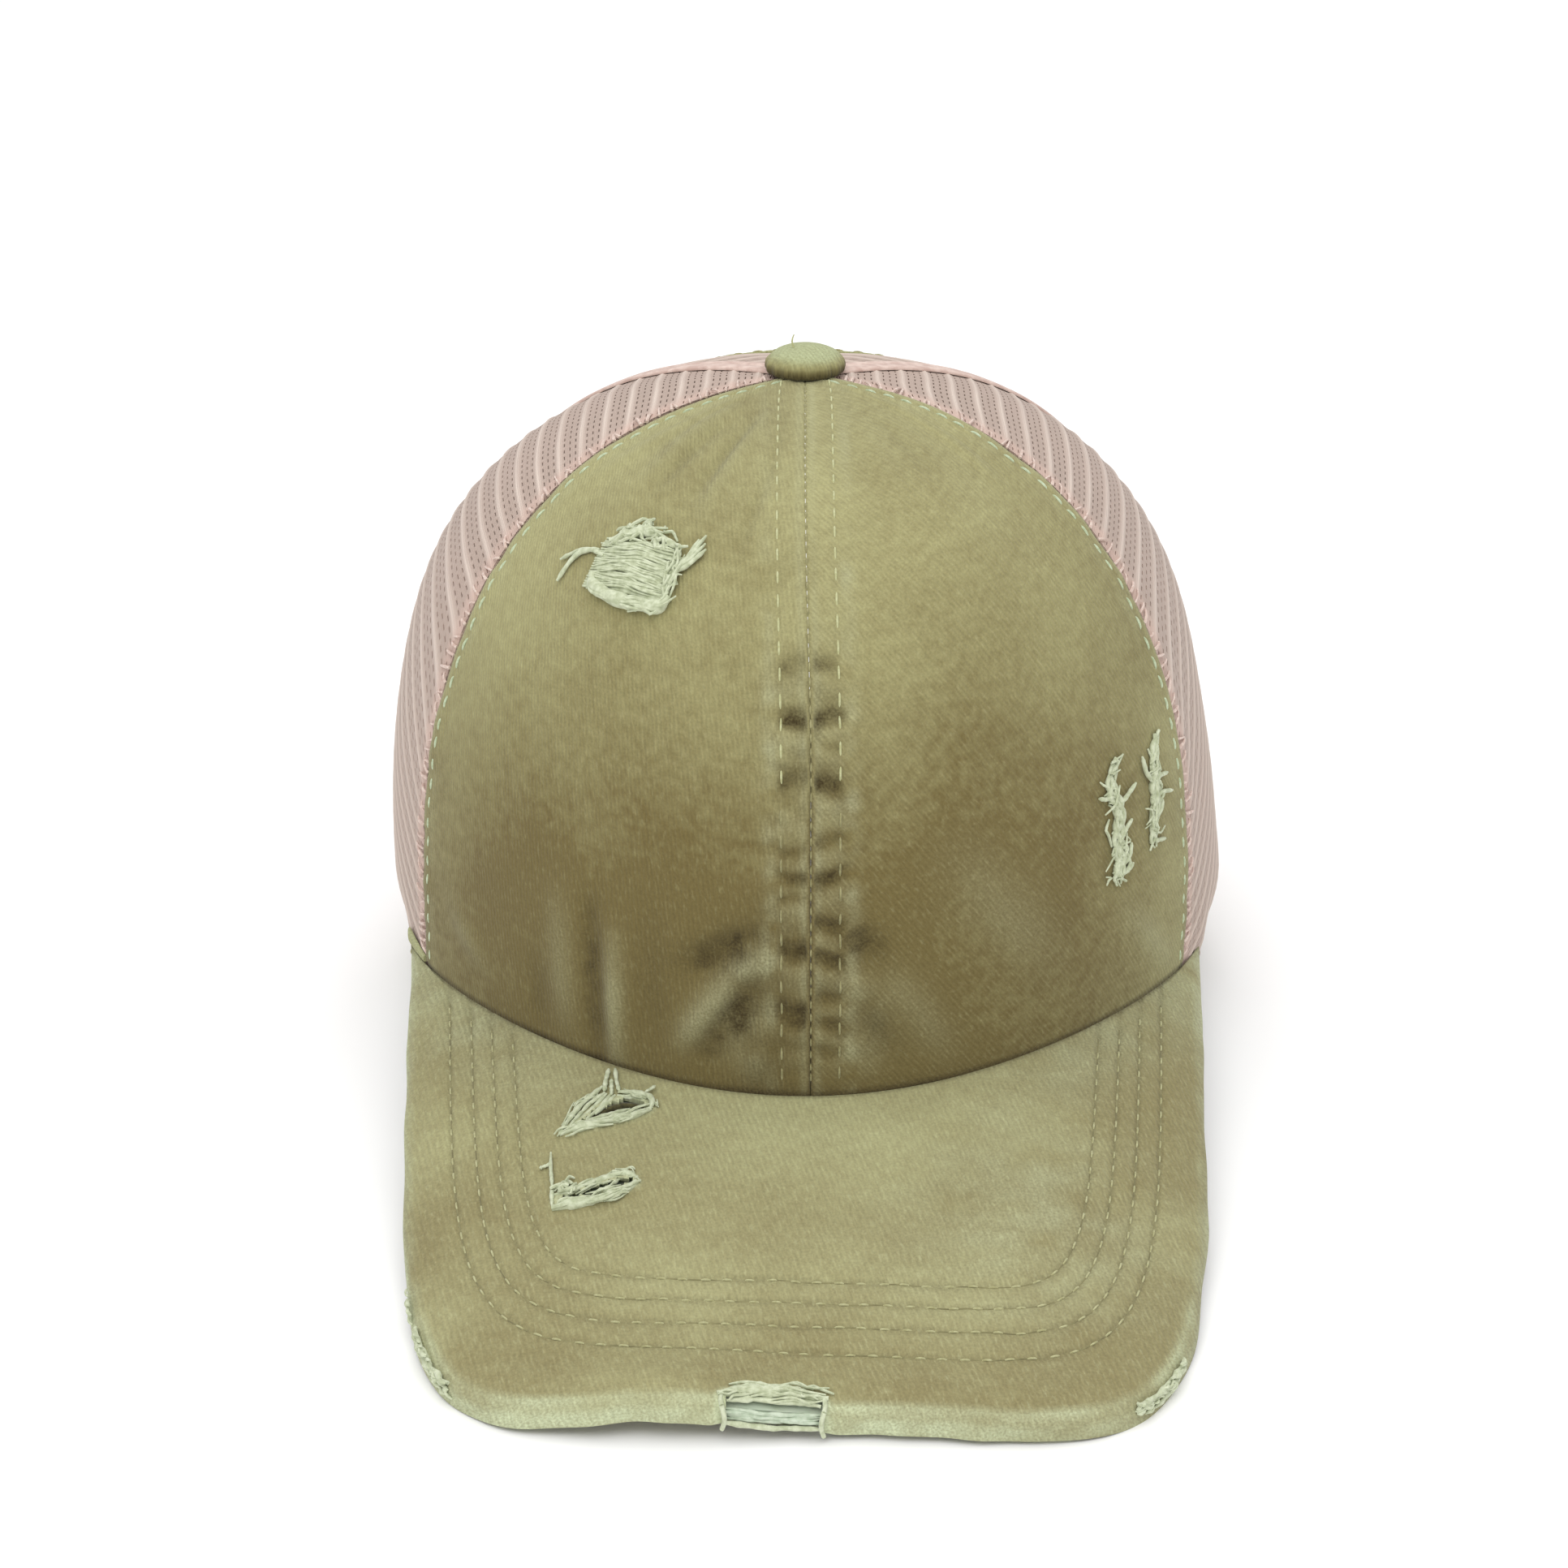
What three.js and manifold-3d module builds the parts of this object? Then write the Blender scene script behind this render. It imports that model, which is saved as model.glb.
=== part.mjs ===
// A ponytail baseball cap in millimetres, +Z up, with its peak towards -Y and +X on the viewer's right.
// It stands by itself on its rear hem and on the two front corners of its peak.
// Angles go round the crown from the middle of the front, positive to the right.
import * as THREE from "three";
import { mergeVertices } from "three/addons/utils/BufferGeometryUtils.js";
import Module from "manifold-3d";

const wasm = await Module();
wasm.setup();
const { clamp, degToRad, lerp, smoothstep } = THREE.MathUtils;

// Crown: a dome on an ellipse, fuller in front than at the back
const crownWidth = 175;
const crownDepth = 193;
const crownHeight = 132;
const bellyHeight = 27; // the crown is widest here
const edgeTuck = 7; // how far the sides draw in from there to the lower edge
const topSetback = 1.4; // how far the top stands behind the middle
const frontFullness = 2.82;
const sideFullness = 2.52;
const backFullness = 2.18;
const eyeletRadius = 3.6; // the panels stop here, under the button
const frontSeamAngle = degToRad(59.7); // between twill and net
const rearSeamAngle = degToRad(116); // between the two nets of a side
const flatEdgeAngle = degToRad(115); // from here back the lower edge lies on the surface

// Cloth
const twillWall = 1.2;
const netWall = 1.2;
const trimCloth = 1;
const clearance = 0.3;

// Peak
const peakLength = 70.4;
const peakRootHalf = 80.4;
const peakFrontHalf = 67.5;
const peakSquareness = 6.5;
const peakRootAngle = degToRad(66);
const hingeHeight = 23.1; // top of the peak at the middle of the front
const peakDroop = degToRad(14);
const peakArch = 13.7; // how far the sides hang below the middle
const archPower = 4.4;
const peakCloth = 1;
const boardThickness = 2;
const rimRound = 0.7;

// Trim at the lower edge and inside
const hemHeight = 3.5;
const bandHeight = 28;

// Ponytail opening at the back, measured along the cloth
const openingHalfWidth = 32;
const openingFootHalf = 27;
const openingShoulder = 98; // from the lower edge up to where the arch starts
const openingReach = 142; // from the lower edge up to the top of the arch
const bindingWidth = 8;

// Closure strap across the foot of the opening
const strapHeight = 24;
const strapThickness = 1.2;
const tabInset = 1; // the tab is this much narrower at each edge
const tabPastMiddle = 13;

// Button on the top
const buttonRadius = 8;
const buttonHeight = 5.4;
const shankRadius = 2.6;
const shankLength = 3;

// Soft folds in the front, above the peak: each swells outwards, its middle by angle and height
const folds = [
  { angle: -24, height: 45, halfWidth: 5, halfHeight: 17, swell: 1.1 },
  { angle: -13, height: 46, halfWidth: 4, halfHeight: 12, swell: 0.9 },
  { angle: -6, height: 38, halfWidth: 4, halfHeight: 9, swell: 0.9 },
  { angle: 59, height: 36, halfWidth: 5, halfHeight: 7, swell: 1.2 },
];
const foldFade = 8; // the folds grow over this height above the peak

// Tears through the peak's top cloth: the middle of each, its size, and its corners as shares of that size
const tears = [
  {
    across: -34.5,
    out: 3,
    width: 12,
    length: 7,
    corners: [
      { x: -0.5, y: -0.4 },
      { x: -0.1, y: -0.5 },
      { x: 0.45, y: -0.25 },
      { x: 0.5, y: 0.25 },
      { x: 0.1, y: 0.5 },
    ],
  },
  {
    across: -37,
    out: 22,
    width: 13,
    length: 6,
    corners: [
      { x: -0.5, y: -0.35 },
      { x: 0.05, y: -0.5 },
      { x: 0.5, y: 0.1 },
      { x: 0.45, y: 0.5 },
      { x: -0.05, y: 0.2 },
      { x: -0.45, y: 0.25 },
    ],
  },
  {
    across: -5.3,
    out: 71.5,
    width: 14,
    length: 12,
    corners: [
      { x: -0.48, y: -0.5 },
      { x: 0.5, y: -0.5 },
      { x: 0.46, y: 0.42 },
      { x: 0.1, y: 0.5 },
      { x: -0.5, y: 0.4 },
    ],
  },
];
const tearCutDepth = 80;

// How finely the cloth is faceted
const bandRows = 3; // rows as high as the sweatband, shared by it and the panels
const frontColumns = 12;
const sideColumns = 10;
const rearColumns = 8;
const crownRows = 12;
const openingSideRows = 6;
const archRows = 8;
const rearTopRows = 4;
const bandColumns = 60;
const hemColumns = 26;
const strapColumns = 14;
const strapRows = 3;
const tabColumns = 8;
const peakColumns = 36;
const boardEndColumns = 1; // the board stops this many columns short of the peak's ends
const peakRows = 5;
const buttonSides = 20;

// Finishes
const olive = { color: 0x9a9670, roughness: 0.92 };
const paleOlive = { color: 0xa6a47c, roughness: 0.92 };
const netPink = { color: 0xc2a99e, roughness: 0.8 };
const boardPale = { color: 0xbcc7b0, roughness: 0.85 };

const cap = new THREE.Group();

function addPiece(name, geometry, finish) {
  const material = new THREE.MeshStandardMaterial({ ...finish, metalness: 0 });
  const mesh = new THREE.Mesh(geometry, material);
  mesh.name = name;
  cap.add(mesh);
}

// Six times the signed volume of a closed mesh: negative when its faces point inwards
function signedVolume(positions, triangles) {
  const corner = (index) => new THREE.Vector3().fromArray(positions, 3 * index);
  let total = 0;
  for (let i = 0; i < triangles.length; i += 3) {
    const [a, b, c] = [corner(triangles[i]), corner(triangles[i + 1]), corner(triangles[i + 2])];
    total += a.dot(b.cross(c));
  }
  return total;
}

// A closed sheet of cloth: a grid of columns and rows with a point on each of its two faces
function sheet(columns, rows, pointAt) {
  const positions = [];
  for (const face of [0, 1])
    for (let i = 0; i <= columns; i++)
      for (let j = 0; j <= rows; j++) positions.push(...pointAt(i, j, face).toArray());
  const faceSize = (columns + 1) * (rows + 1);
  const at = (i, j, face) => face * faceSize + i * (rows + 1) + j;
  const triangles = [];
  const quad = (a, b, c, d) => triangles.push(a, b, c, a, c, d);
  for (let i = 0; i < columns; i++) {
    for (let j = 0; j < rows; j++) {
      quad(at(i, j, 0), at(i + 1, j, 0), at(i + 1, j + 1, 0), at(i, j + 1, 0));
      quad(at(i, j, 1), at(i, j + 1, 1), at(i + 1, j + 1, 1), at(i + 1, j, 1));
    }
    quad(at(i, 0, 1), at(i + 1, 0, 1), at(i + 1, 0, 0), at(i, 0, 0));
    quad(at(i, rows, 0), at(i + 1, rows, 0), at(i + 1, rows, 1), at(i, rows, 1));
  }
  for (let j = 0; j < rows; j++) {
    quad(at(0, j, 0), at(0, j + 1, 0), at(0, j + 1, 1), at(0, j, 1));
    quad(at(columns, j, 1), at(columns, j + 1, 1), at(columns, j + 1, 0), at(columns, j, 0));
  }
  if (signedVolume(positions, triangles) < 0) triangles.reverse();
  const geometry = new THREE.BufferGeometry();
  geometry.setAttribute("position", new THREE.Float32BufferAttribute(positions, 3));
  geometry.setIndex(triangles);
  geometry.computeVertexNormals();
  return geometry;
}

// The crown's dome
function fullness(angle) {
  const facing = Math.cos(angle);
  return lerp(sideFullness, facing > 0 ? frontFullness : backFullness, facing ** 2);
}

// The dome's half width and half depth at a height, as a share of the largest
function spread(angle, height) {
  const rise = clamp((height - bellyHeight) / (crownHeight - bellyHeight), 0, 1);
  const power = fullness(angle);
  const drop = Math.max(bellyHeight - height, 0) / bellyHeight;
  const tuck = (edgeTuck / (crownWidth / 2)) * drop ** 2;
  return (1 - rise ** power) ** (1 / power) * (1 - tuck);
}

function domePoint(angle, height) {
  const wide = spread(angle, height);
  const x = (crownWidth / 2) * wide * Math.sin(angle);
  const y = (crownDepth / 2) * wide * Math.cos(angle);
  return new THREE.Vector3(x, (topSetback * height) / crownHeight - y, height);
}

function foldSwell(angle, height) {
  let swell = 0;
  for (const fold of folds) {
    const sideways = (angle - degToRad(fold.angle)) / degToRad(fold.halfWidth);
    const upwards = (height - fold.height) / fold.halfHeight;
    swell += fold.swell * Math.exp(-(sideways ** 2) - upwards ** 2);
  }
  return swell * smoothstep(height, hingeHeight, hingeHeight + foldFade);
}

// Outward direction of the dome, kept level below the belly so that edges there stay flat
function domeNormal(angle, height) {
  const step = 1e-4;
  const lift = step * (crownHeight - height);
  const along = domePoint(angle + step, height).sub(domePoint(angle - step, height));
  const up = domePoint(angle, height + lift).sub(domePoint(angle, height - lift));
  const normal = along.cross(up);
  normal.z = Math.max(normal.z, 0);
  return normal.normalize();
}

// A point some depth below the outside of the crown's cloth, or above it where the depth is negative
function skinPoint(angle, height, depth) {
  return domePoint(angle, height).addScaledVector(domeNormal(angle, height), -depth);
}

// The angle that half a seam's clearance takes at a place on the dome
function halfGapAngle(angle, height) {
  const perRadian = Math.hypot((crownWidth / 2) * Math.cos(angle), (crownDepth / 2) * Math.sin(angle));
  return clearance / 2 / (perRadian * spread(angle, height));
}

// The peak: an arched board that starts at the crown and ends at its rim
const hingeY = domePoint(0, hingeHeight).y;
const peakRootY = domePoint(peakRootAngle, hingeHeight).y;
const peakThickness = 2 * peakCloth + boardThickness + 2 * clearance;

function peakTop(x, y) {
  const sag = peakArch * Math.abs(x / peakRootHalf) ** archPower;
  return hingeHeight - sag - Math.tan(peakDroop) * (hingeY - y);
}

// The rim in plan, from the left end at -1 through the front at 0 to the right end at 1
function rimPoint(across) {
  const turn = (across * Math.PI) / 2;
  const power = peakSquareness;
  const [sine, cosine] = [Math.sin(turn), Math.cos(turn)];
  const reach = (Math.abs(sine) ** power + Math.abs(cosine) ** power) ** (-1 / power);
  const out = reach * cosine;
  const half = lerp(peakRootHalf, peakFrontHalf, out);
  return new THREE.Vector2(half * reach * sine, lerp(peakRootY, hingeY - peakLength, out));
}

function peakInnerPoint(across) {
  const point = skinPoint(across * peakRootAngle, hingeHeight, -clearance);
  return new THREE.Vector2(point.x, point.y);
}

// The rim drawn in by a number of millimetres, less where the peak narrows to its ends
function insetRimPoint(across, inset) {
  const step = 1e-4;
  const rim = rimPoint(across);
  const tangent = rimPoint(across + step).sub(rimPoint(across - step)).normalize();
  const room = rim.distanceTo(peakInnerPoint(across));
  const inward = new THREE.Vector2(-tangent.y, tangent.x);
  return rim.addScaledVector(inward, Math.min(inset, 0.4 * room));
}

// A point of the peak: out runs from 0 at the crown to 1 at the rim, depth goes down from the top
function peakPoint(across, out, inset, depth) {
  const plan = peakInnerPoint(across).lerp(insetRimPoint(across, inset), out);
  return new THREE.Vector3(plan.x, plan.y, peakTop(plan.x, plan.y) - depth);
}

// The crown's lower edge: under the peak in front, on the surface at the back
function edgeHeight(angle) {
  const seated = Math.min(Math.abs(angle), peakRootAngle);
  const root = domePoint(seated, hingeHeight);
  const front = peakTop(root.x, root.y) - peakThickness;
  return front * (1 - smoothstep(Math.abs(angle), peakRootAngle, flatEdgeAngle));
}

// Height on the crown by the share of the way from the lower edge to the button
const riseCurve = 0.9; // makes equal shares nearly equal lengths of cloth
function heightAt(angle, share) {
  const low = edgeHeight(angle);
  const power = fullness(angle);
  const eyelet = (1 - (eyeletRadius / (crownDepth / 2)) ** power) ** (1 / power);
  const top = bellyHeight + (crownHeight - bellyHeight) * eyelet;
  return low + (top - low) * Math.sin((share * Math.PI) / 2) ** riseCurve;
}

function evenSteps(from, to, steps) {
  return Array.from({ length: steps + 1 }, (_, step) => lerp(from, to, step / steps));
}

// The share of the way up that the sweatband takes, and the rows of the panels from there to the button
const bandShare = (2 / Math.PI) * Math.asin((bandHeight / crownHeight) ** (1 / riseCurve));
const bandShares = evenSteps(0, bandShare, bandRows);
const crownShares = [...bandShares, ...evenSteps(bandShare, 1, crownRows).slice(1)];

// Length of cloth from the lower edge to the button up the middle of the back
function backLength() {
  const points = evenSteps(0, 1, 60).map((share) => domePoint(Math.PI, heightAt(Math.PI, share)));
  return points.slice(1).reduce((length, point, i) => length + point.distanceTo(points[i]), 0);
}
const backRun = backLength();

function openingSideHalf(run) {
  const climb = Math.min(run / openingShoulder, 1);
  return lerp(openingFootHalf, openingHalfWidth, Math.sin((climb * Math.PI) / 2));
}

// Stops up the opening's edge: by share of the crown up to the shoulder, then by swing round the arch
const shoulderShare = openingShoulder / backRun;
const openingStops = [
  ...[...bandShares, ...evenSteps(bandShare, shoulderShare, openingSideRows).slice(1)].map((share) => ({
    share,
    swing: 0,
  })),
  ...evenSteps(0, Math.PI / 2, archRows).slice(1).map((swing) => ({ share: shoulderShare, swing })),
];

// The opening's edge, or a line beyond it: half is sideways from the middle, share is up the crown
function openingEdge({ share, swing }, beyond) {
  if (swing === 0) return { half: openingSideHalf(share * backRun) + beyond, share };
  const rise = (openingReach - openingShoulder + beyond) * Math.sin(swing);
  return { half: (openingHalfWidth + beyond) * Math.cos(swing), share: share + rise / backRun };
}

// The angle on the crown's back that lies a distance sideways from its middle
function rearAngle(half, height) {
  const radius = (crownWidth / 2) * spread(Math.PI, height);
  return Math.PI - Math.asin(Math.min(half / radius, 1));
}

// One panel of the crown between two seams, on the side given by sign
function crownPanel(sign, columns, shares, fromAngle, toAngle, wall, bottomLift) {
  return sheet(columns, shares.length - 1, (i, j, face) => {
    const start = heightAt(fromAngle, shares[j]);
    const from = fromAngle + halfGapAngle(fromAngle, start);
    const angle = lerp(from, toAngle(j, shares[j]), i / columns);
    const height = Math.max(heightAt(angle, shares[j]), edgeHeight(angle) + bottomLift);
    return skinPoint(sign * angle, height, face * wall - foldSwell(sign * angle, height));
  });
}

function seamEdge(angle) {
  return (row, share) => angle - halfGapAngle(angle, heightAt(angle, share));
}

// The rear panel's rows follow the opening's edge up to the arch, then run on to the button
const rearShares = [
  ...openingStops.map((stop) => openingEdge(stop, 0).share),
  ...evenSteps(openingReach / backRun, 1, rearTopRows).slice(1),
];

function rearPanelEdge(row, share) {
  const height = heightAt(Math.PI, share);
  const half = row < openingStops.length ? openingEdge(openingStops[row], 0).half : 0;
  return Math.min(rearAngle(half, height), Math.PI - halfGapAngle(Math.PI, height));
}

// Widths of the trim through the cloth, from the outside in
const insideNet = netWall + clearance;
const insideTrim = insideNet + trimCloth;
const hemLift = trimCloth + clearance;
const hemEndHalf = openingSideHalf(hemHeight) + bindingWidth + clearance;
const hemEndAngle = rearAngle(hemEndHalf, 0);

// A hem that covers the net's lower edge and turns in under it
function hemGeometry(sign) {
  const outer = -clearance - trimCloth;
  const start = peakRootAngle + 2 * halfGapAngle(peakRootAngle, 0);
  const section = [
    [{ depth: outer, height: hemHeight }, { depth: -clearance, height: hemHeight }],
    [{ depth: outer, height: 0 }, { depth: -clearance, height: trimCloth }],
    [{ depth: insideTrim, height: 0 }, { depth: insideTrim, height: trimCloth }],
  ];
  return sheet(hemColumns, section.length - 1, (i, j, face) => {
    const angle = lerp(start, hemEndAngle, i / hemColumns);
    const { depth, height } = section[j][face];
    return skinPoint(sign * angle, edgeHeight(angle) + height, depth);
  });
}

function sweatbandGeometry() {
  return sheet(bandColumns, bandRows, (i, j, face) => {
    const angle = lerp(-hemEndAngle, hemEndAngle, i / bandColumns);
    const height = Math.max(heightAt(angle, bandShares[j]), edgeHeight(angle) + hemLift);
    return skinPoint(angle, height, insideNet + face * trimCloth);
  });
}

// A channel that wraps the nets' edges all round the opening
function bindingGeometry() {
  const lip = -clearance - trimCloth;
  const section = [
    [{ beyond: bindingWidth, depth: lip }, { beyond: bindingWidth, depth: -clearance }],
    [{ beyond: lip, depth: lip }, { beyond: -clearance, depth: -clearance }],
    [{ beyond: lip, depth: insideTrim }, { beyond: -clearance, depth: insideNet }],
    [{ beyond: bindingWidth, depth: insideTrim }, { beyond: bindingWidth, depth: insideNet }],
  ];
  const last = openingStops.length - 1;
  return sheet(2 * last, section.length - 1, (i, j, face) => {
    const { beyond, depth } = section[j][face];
    const { half, share } = openingEdge(openingStops[last - Math.abs(last - i)], beyond);
    const angle = rearAngle(half, heightAt(Math.PI, share));
    return skinPoint(i < last ? -angle : angle, heightAt(angle, share), depth);
  });
}

// A flat band across the back between two sideways places, negative to the left
function bandAcrossBack(columns, from, to, low, high, depth) {
  return sheet(columns, strapRows, (i, j, face) => {
    const side = lerp(from, to, i / columns);
    const height = lerp(low, high, j / strapRows);
    const angle = rearAngle(Math.abs(side), height);
    return skinPoint(side < 0 ? -angle : angle, height, depth + face * strapThickness);
  });
}

// The peak's cloths: each is one sheet that turns over the board's rim to meet the other
function peakClothGeometry(surface, inwards) {
  const lipEnd = surface + inwards * ((peakThickness - clearance) / 2);
  return sheet(peakColumns, peakRows + 2, (i, j, face) => {
    const across = (2 * i) / peakColumns - 1;
    const inset = face * peakCloth;
    const depth = surface + inwards * inset;
    if (j <= peakRows) return peakPoint(across, j / peakRows, inset + rimRound, depth);
    if (j === peakRows + 1) return peakPoint(across, 1, inset, face ? depth : surface + inwards * rimRound);
    return peakPoint(across, 1, inset, lipEnd);
  });
}

function boardGeometry() {
  const inset = peakCloth + clearance;
  return sheet(peakColumns - 2 * boardEndColumns, peakRows, (i, j, face) => {
    const across = (2 * (i + boardEndColumns)) / peakColumns - 1;
    return peakPoint(across, j / peakRows, inset, inset + face * boardThickness);
  });
}

function asSolid(geometry) {
  const bare = geometry.clone();
  bare.deleteAttribute("normal");
  bare.deleteAttribute("uv");
  const merged = mergeVertices(bare, 1e-4);
  const vertProperties = new Float32Array(merged.attributes.position.array);
  const triVerts = new Uint32Array(merged.index.array);
  return new wasm.Manifold(new wasm.Mesh({ numProp: 3, vertProperties, triVerts }));
}

function asGeometry(solid) {
  const mesh = solid.getMesh();
  const geometry = new THREE.BufferGeometry();
  geometry.setAttribute("position", new THREE.Float32BufferAttribute(mesh.vertProperties, 3));
  geometry.setIndex([...mesh.triVerts]);
  geometry.computeVertexNormals();
  return geometry;
}

// A tear's outline stands upright through the cloth
function tearCutter(tear) {
  const outline = new THREE.Shape(
    tear.corners.map(({ x, y }) => {
      return new THREE.Vector2(tear.across + x * tear.width, hingeY - tear.out + y * tear.length);
    }),
  );
  const cutter = new THREE.ExtrudeGeometry(outline, { depth: tearCutDepth, bevelEnabled: false });
  return cutter.translate(0, 0, -tearCutDepth / 2);
}

function tornTopCloth() {
  let cloth = asSolid(peakClothGeometry(0, 1));
  for (const tear of tears) cloth = cloth.subtract(asSolid(tearCutter(tear)));
  return asGeometry(cloth);
}

// A cloth-covered dome on a shank that goes down through the panels
function buttonGeometry() {
  const profile = [
    [0, -shankLength],
    [shankRadius, -shankLength],
    [shankRadius, 0],
    [0.93 * buttonRadius, 0],
    [buttonRadius, 0.28 * buttonHeight],
    [0.93 * buttonRadius, 0.6 * buttonHeight],
    [0.7 * buttonRadius, 0.86 * buttonHeight],
    [0.38 * buttonRadius, 0.97 * buttonHeight],
    [0, buttonHeight],
  ].map(([radius, height]) => new THREE.Vector2(radius, height));
  const button = new THREE.LatheGeometry(profile, buttonSides);
  button.rotateX(Math.PI / 2);
  button.translate(0, topSetback, crownHeight + clearance);
  return button;
}

for (const [side, sign] of [["left", -1], ["right", 1]]) {
  const front = crownPanel(sign, frontColumns, crownShares, 0, seamEdge(frontSeamAngle), twillWall, 0);
  addPiece(`front_panel_${side}`, front, olive);
  const rearSeam = seamEdge(rearSeamAngle);
  const sideNet = crownPanel(sign, sideColumns, crownShares, frontSeamAngle, rearSeam, netWall, hemLift);
  addPiece(`side_mesh_${side}`, sideNet, netPink);
  const rearNet = crownPanel(sign, rearColumns, rearShares, rearSeamAngle, rearPanelEdge, netWall, hemLift);
  addPiece(`rear_mesh_${side}`, rearNet, netPink);
  addPiece(`hem_${side}`, hemGeometry(sign), paleOlive);
}
addPiece("top_button", buttonGeometry(), paleOlive);
addPiece("peak_top_cloth", tornTopCloth(), paleOlive);
addPiece("peak_board", boardGeometry(), boardPale);
addPiece("peak_under_cloth", peakClothGeometry(peakThickness, -1), paleOlive);
addPiece("sweatband", sweatbandGeometry(), olive);
addPiece("ponytail_binding", bindingGeometry(), paleOlive);

const strapSpan = openingFootHalf + bindingWidth;
const strapDepth = insideTrim + 2 * clearance;
const tabFrom = -(openingFootHalf - 2 * clearance - trimCloth);
const tabDepth = strapDepth - clearance - strapThickness;
const strap = bandAcrossBack(strapColumns, -strapSpan, strapSpan, 0, strapHeight, strapDepth);
const tabTop = strapHeight - tabInset;
const tab = bandAcrossBack(tabColumns, tabFrom, tabPastMiddle, tabInset, tabTop, tabDepth);
addPiece("back_strap", strap, olive);
addPiece("strap_tab", tab, paleOlive);

// The origin is the middle of the box, on the surface that the cap stands on
cap.updateMatrixWorld(true);
const box = new THREE.Box3().setFromObject(cap, true);
cap.position.set(-(box.min.x + box.max.x) / 2, -(box.min.y + box.max.y) / 2, -box.min.z);

export default cap;
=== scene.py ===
import math

import bpy
import numpy as np
from mathutils import Matrix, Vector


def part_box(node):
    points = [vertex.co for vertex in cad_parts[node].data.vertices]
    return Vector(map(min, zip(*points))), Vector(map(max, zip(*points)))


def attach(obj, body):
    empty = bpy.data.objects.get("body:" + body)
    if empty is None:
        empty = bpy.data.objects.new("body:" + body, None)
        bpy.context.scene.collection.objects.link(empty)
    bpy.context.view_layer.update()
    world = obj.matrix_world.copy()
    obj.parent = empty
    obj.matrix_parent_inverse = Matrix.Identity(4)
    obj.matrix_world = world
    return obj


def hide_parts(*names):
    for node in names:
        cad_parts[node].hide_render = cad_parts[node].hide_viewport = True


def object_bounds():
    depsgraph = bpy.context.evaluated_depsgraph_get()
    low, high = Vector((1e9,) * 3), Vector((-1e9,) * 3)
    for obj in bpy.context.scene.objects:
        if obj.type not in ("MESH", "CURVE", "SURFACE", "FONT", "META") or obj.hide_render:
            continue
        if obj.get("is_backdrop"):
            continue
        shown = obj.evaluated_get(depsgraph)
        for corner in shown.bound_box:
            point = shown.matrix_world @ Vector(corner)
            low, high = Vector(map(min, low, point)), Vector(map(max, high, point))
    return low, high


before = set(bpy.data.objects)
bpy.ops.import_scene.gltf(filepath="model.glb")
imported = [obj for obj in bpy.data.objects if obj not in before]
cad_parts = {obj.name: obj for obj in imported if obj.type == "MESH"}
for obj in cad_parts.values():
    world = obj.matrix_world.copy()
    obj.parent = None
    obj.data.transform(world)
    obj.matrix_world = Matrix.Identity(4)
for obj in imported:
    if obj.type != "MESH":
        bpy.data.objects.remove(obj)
cad_low, cad_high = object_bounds()

# A worn ponytail baseball cap: green-brown twill in front, pink net behind, pale frayed tears.
# Lengths are in millimetres until a mesh is made. The middle of the crown is the origin, +Z up and the
# peak towards -Y. Angles go round the crown from the middle of the front, positive to the right.

MM = 0.001

# Crown, as the frame has it
CROWN_WIDTH = 175.0
CROWN_DEPTH = 193.0
CROWN_HEIGHT = 132.0
BELLY_HEIGHT = 27.0
EDGE_TUCK = 7.0
TOP_SETBACK = 1.4
FRONT_FULLNESS = 2.82
SIDE_FULLNESS = 2.52
BACK_FULLNESS = 2.18
EYELET_RADIUS = 3.6
FRONT_SEAM = math.radians(59.7)
REAR_SEAM = math.radians(116)
FLAT_EDGE = math.radians(115)
RISE_CURVE = 0.9
CLEARANCE = 0.3
TWILL_WALL = 1.2

# Peak
PEAK_LENGTH = 70.4
PEAK_ROOT_HALF = 80.4
PEAK_FRONT_HALF = 67.5
PEAK_SQUARENESS = 6.5
PEAK_ROOT = math.radians(66)
HINGE_HEIGHT = 23.1
PEAK_DROOP = math.radians(14)
PEAK_ARCH = 13.7
ARCH_POWER = 4.4
PEAK_CLOTH = 1.0
BOARD_THICKNESS = 2.0
PEAK_THICKNESS = 2 * PEAK_CLOTH + BOARD_THICKNESS + 2 * CLEARANCE
RIM_ROUND = 2.1
LOWER_ROUND = 0.9
LOWER_TUCK = 1.15  # the lower cloth stays this far behind the rim
BOARD_SHARE = 0.944  # how far round the rim the board reaches
TUCK_DEPTH = 3.6  # the net draws in this far at its hem beside the peak
TUCK_REACH = 17.0
RIM_BULGE = 1.8  # how far the front edge comes forward, right of its middle
RIM_WAVE = 2.6  # how far the worn front edge lifts, left of its middle

# Trim
HEM_HEIGHT = 3.5
HEM_LIFT = 1.3
BAND_HEIGHT = 28.0
OPENING_HALF = 32.0
OPENING_FOOT_HALF = 27.0
OPENING_SHOULDER = 98.0
OPENING_REACH = 142.0
BINDING_WIDTH = 8.0
STRAP_HEIGHT = 24.0
STRAP_THICKNESS = 1.2
TAB_INSET = 1.0
TAB_FROM = -25.4
TAB_PAST_MIDDLE = 13.0
INSIDE_NET = 1.5
STRAP_DEPTH = 3.1
TAB_DEPTH = 1.6

# Camera, from the photograph's frame of 1932 pixels
PHOTO_PIXELS = 1932
FOCAL_PIXELS = 3244.6
CAMERA_ELEVATION = math.radians(24.5)
CAMERA_DISTANCE = 581.7
CAMERA_LIFT = 38.39
CAP_MIDDLE_PIXEL = 992
SENSOR_WIDTH = 36.0

button_low, button_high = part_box("top_button")
CROWN_CENTRE = np.array([0.0, (button_low.y + button_high.y) / 2 / MM - TOP_SETBACK, 0.0])

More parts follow.
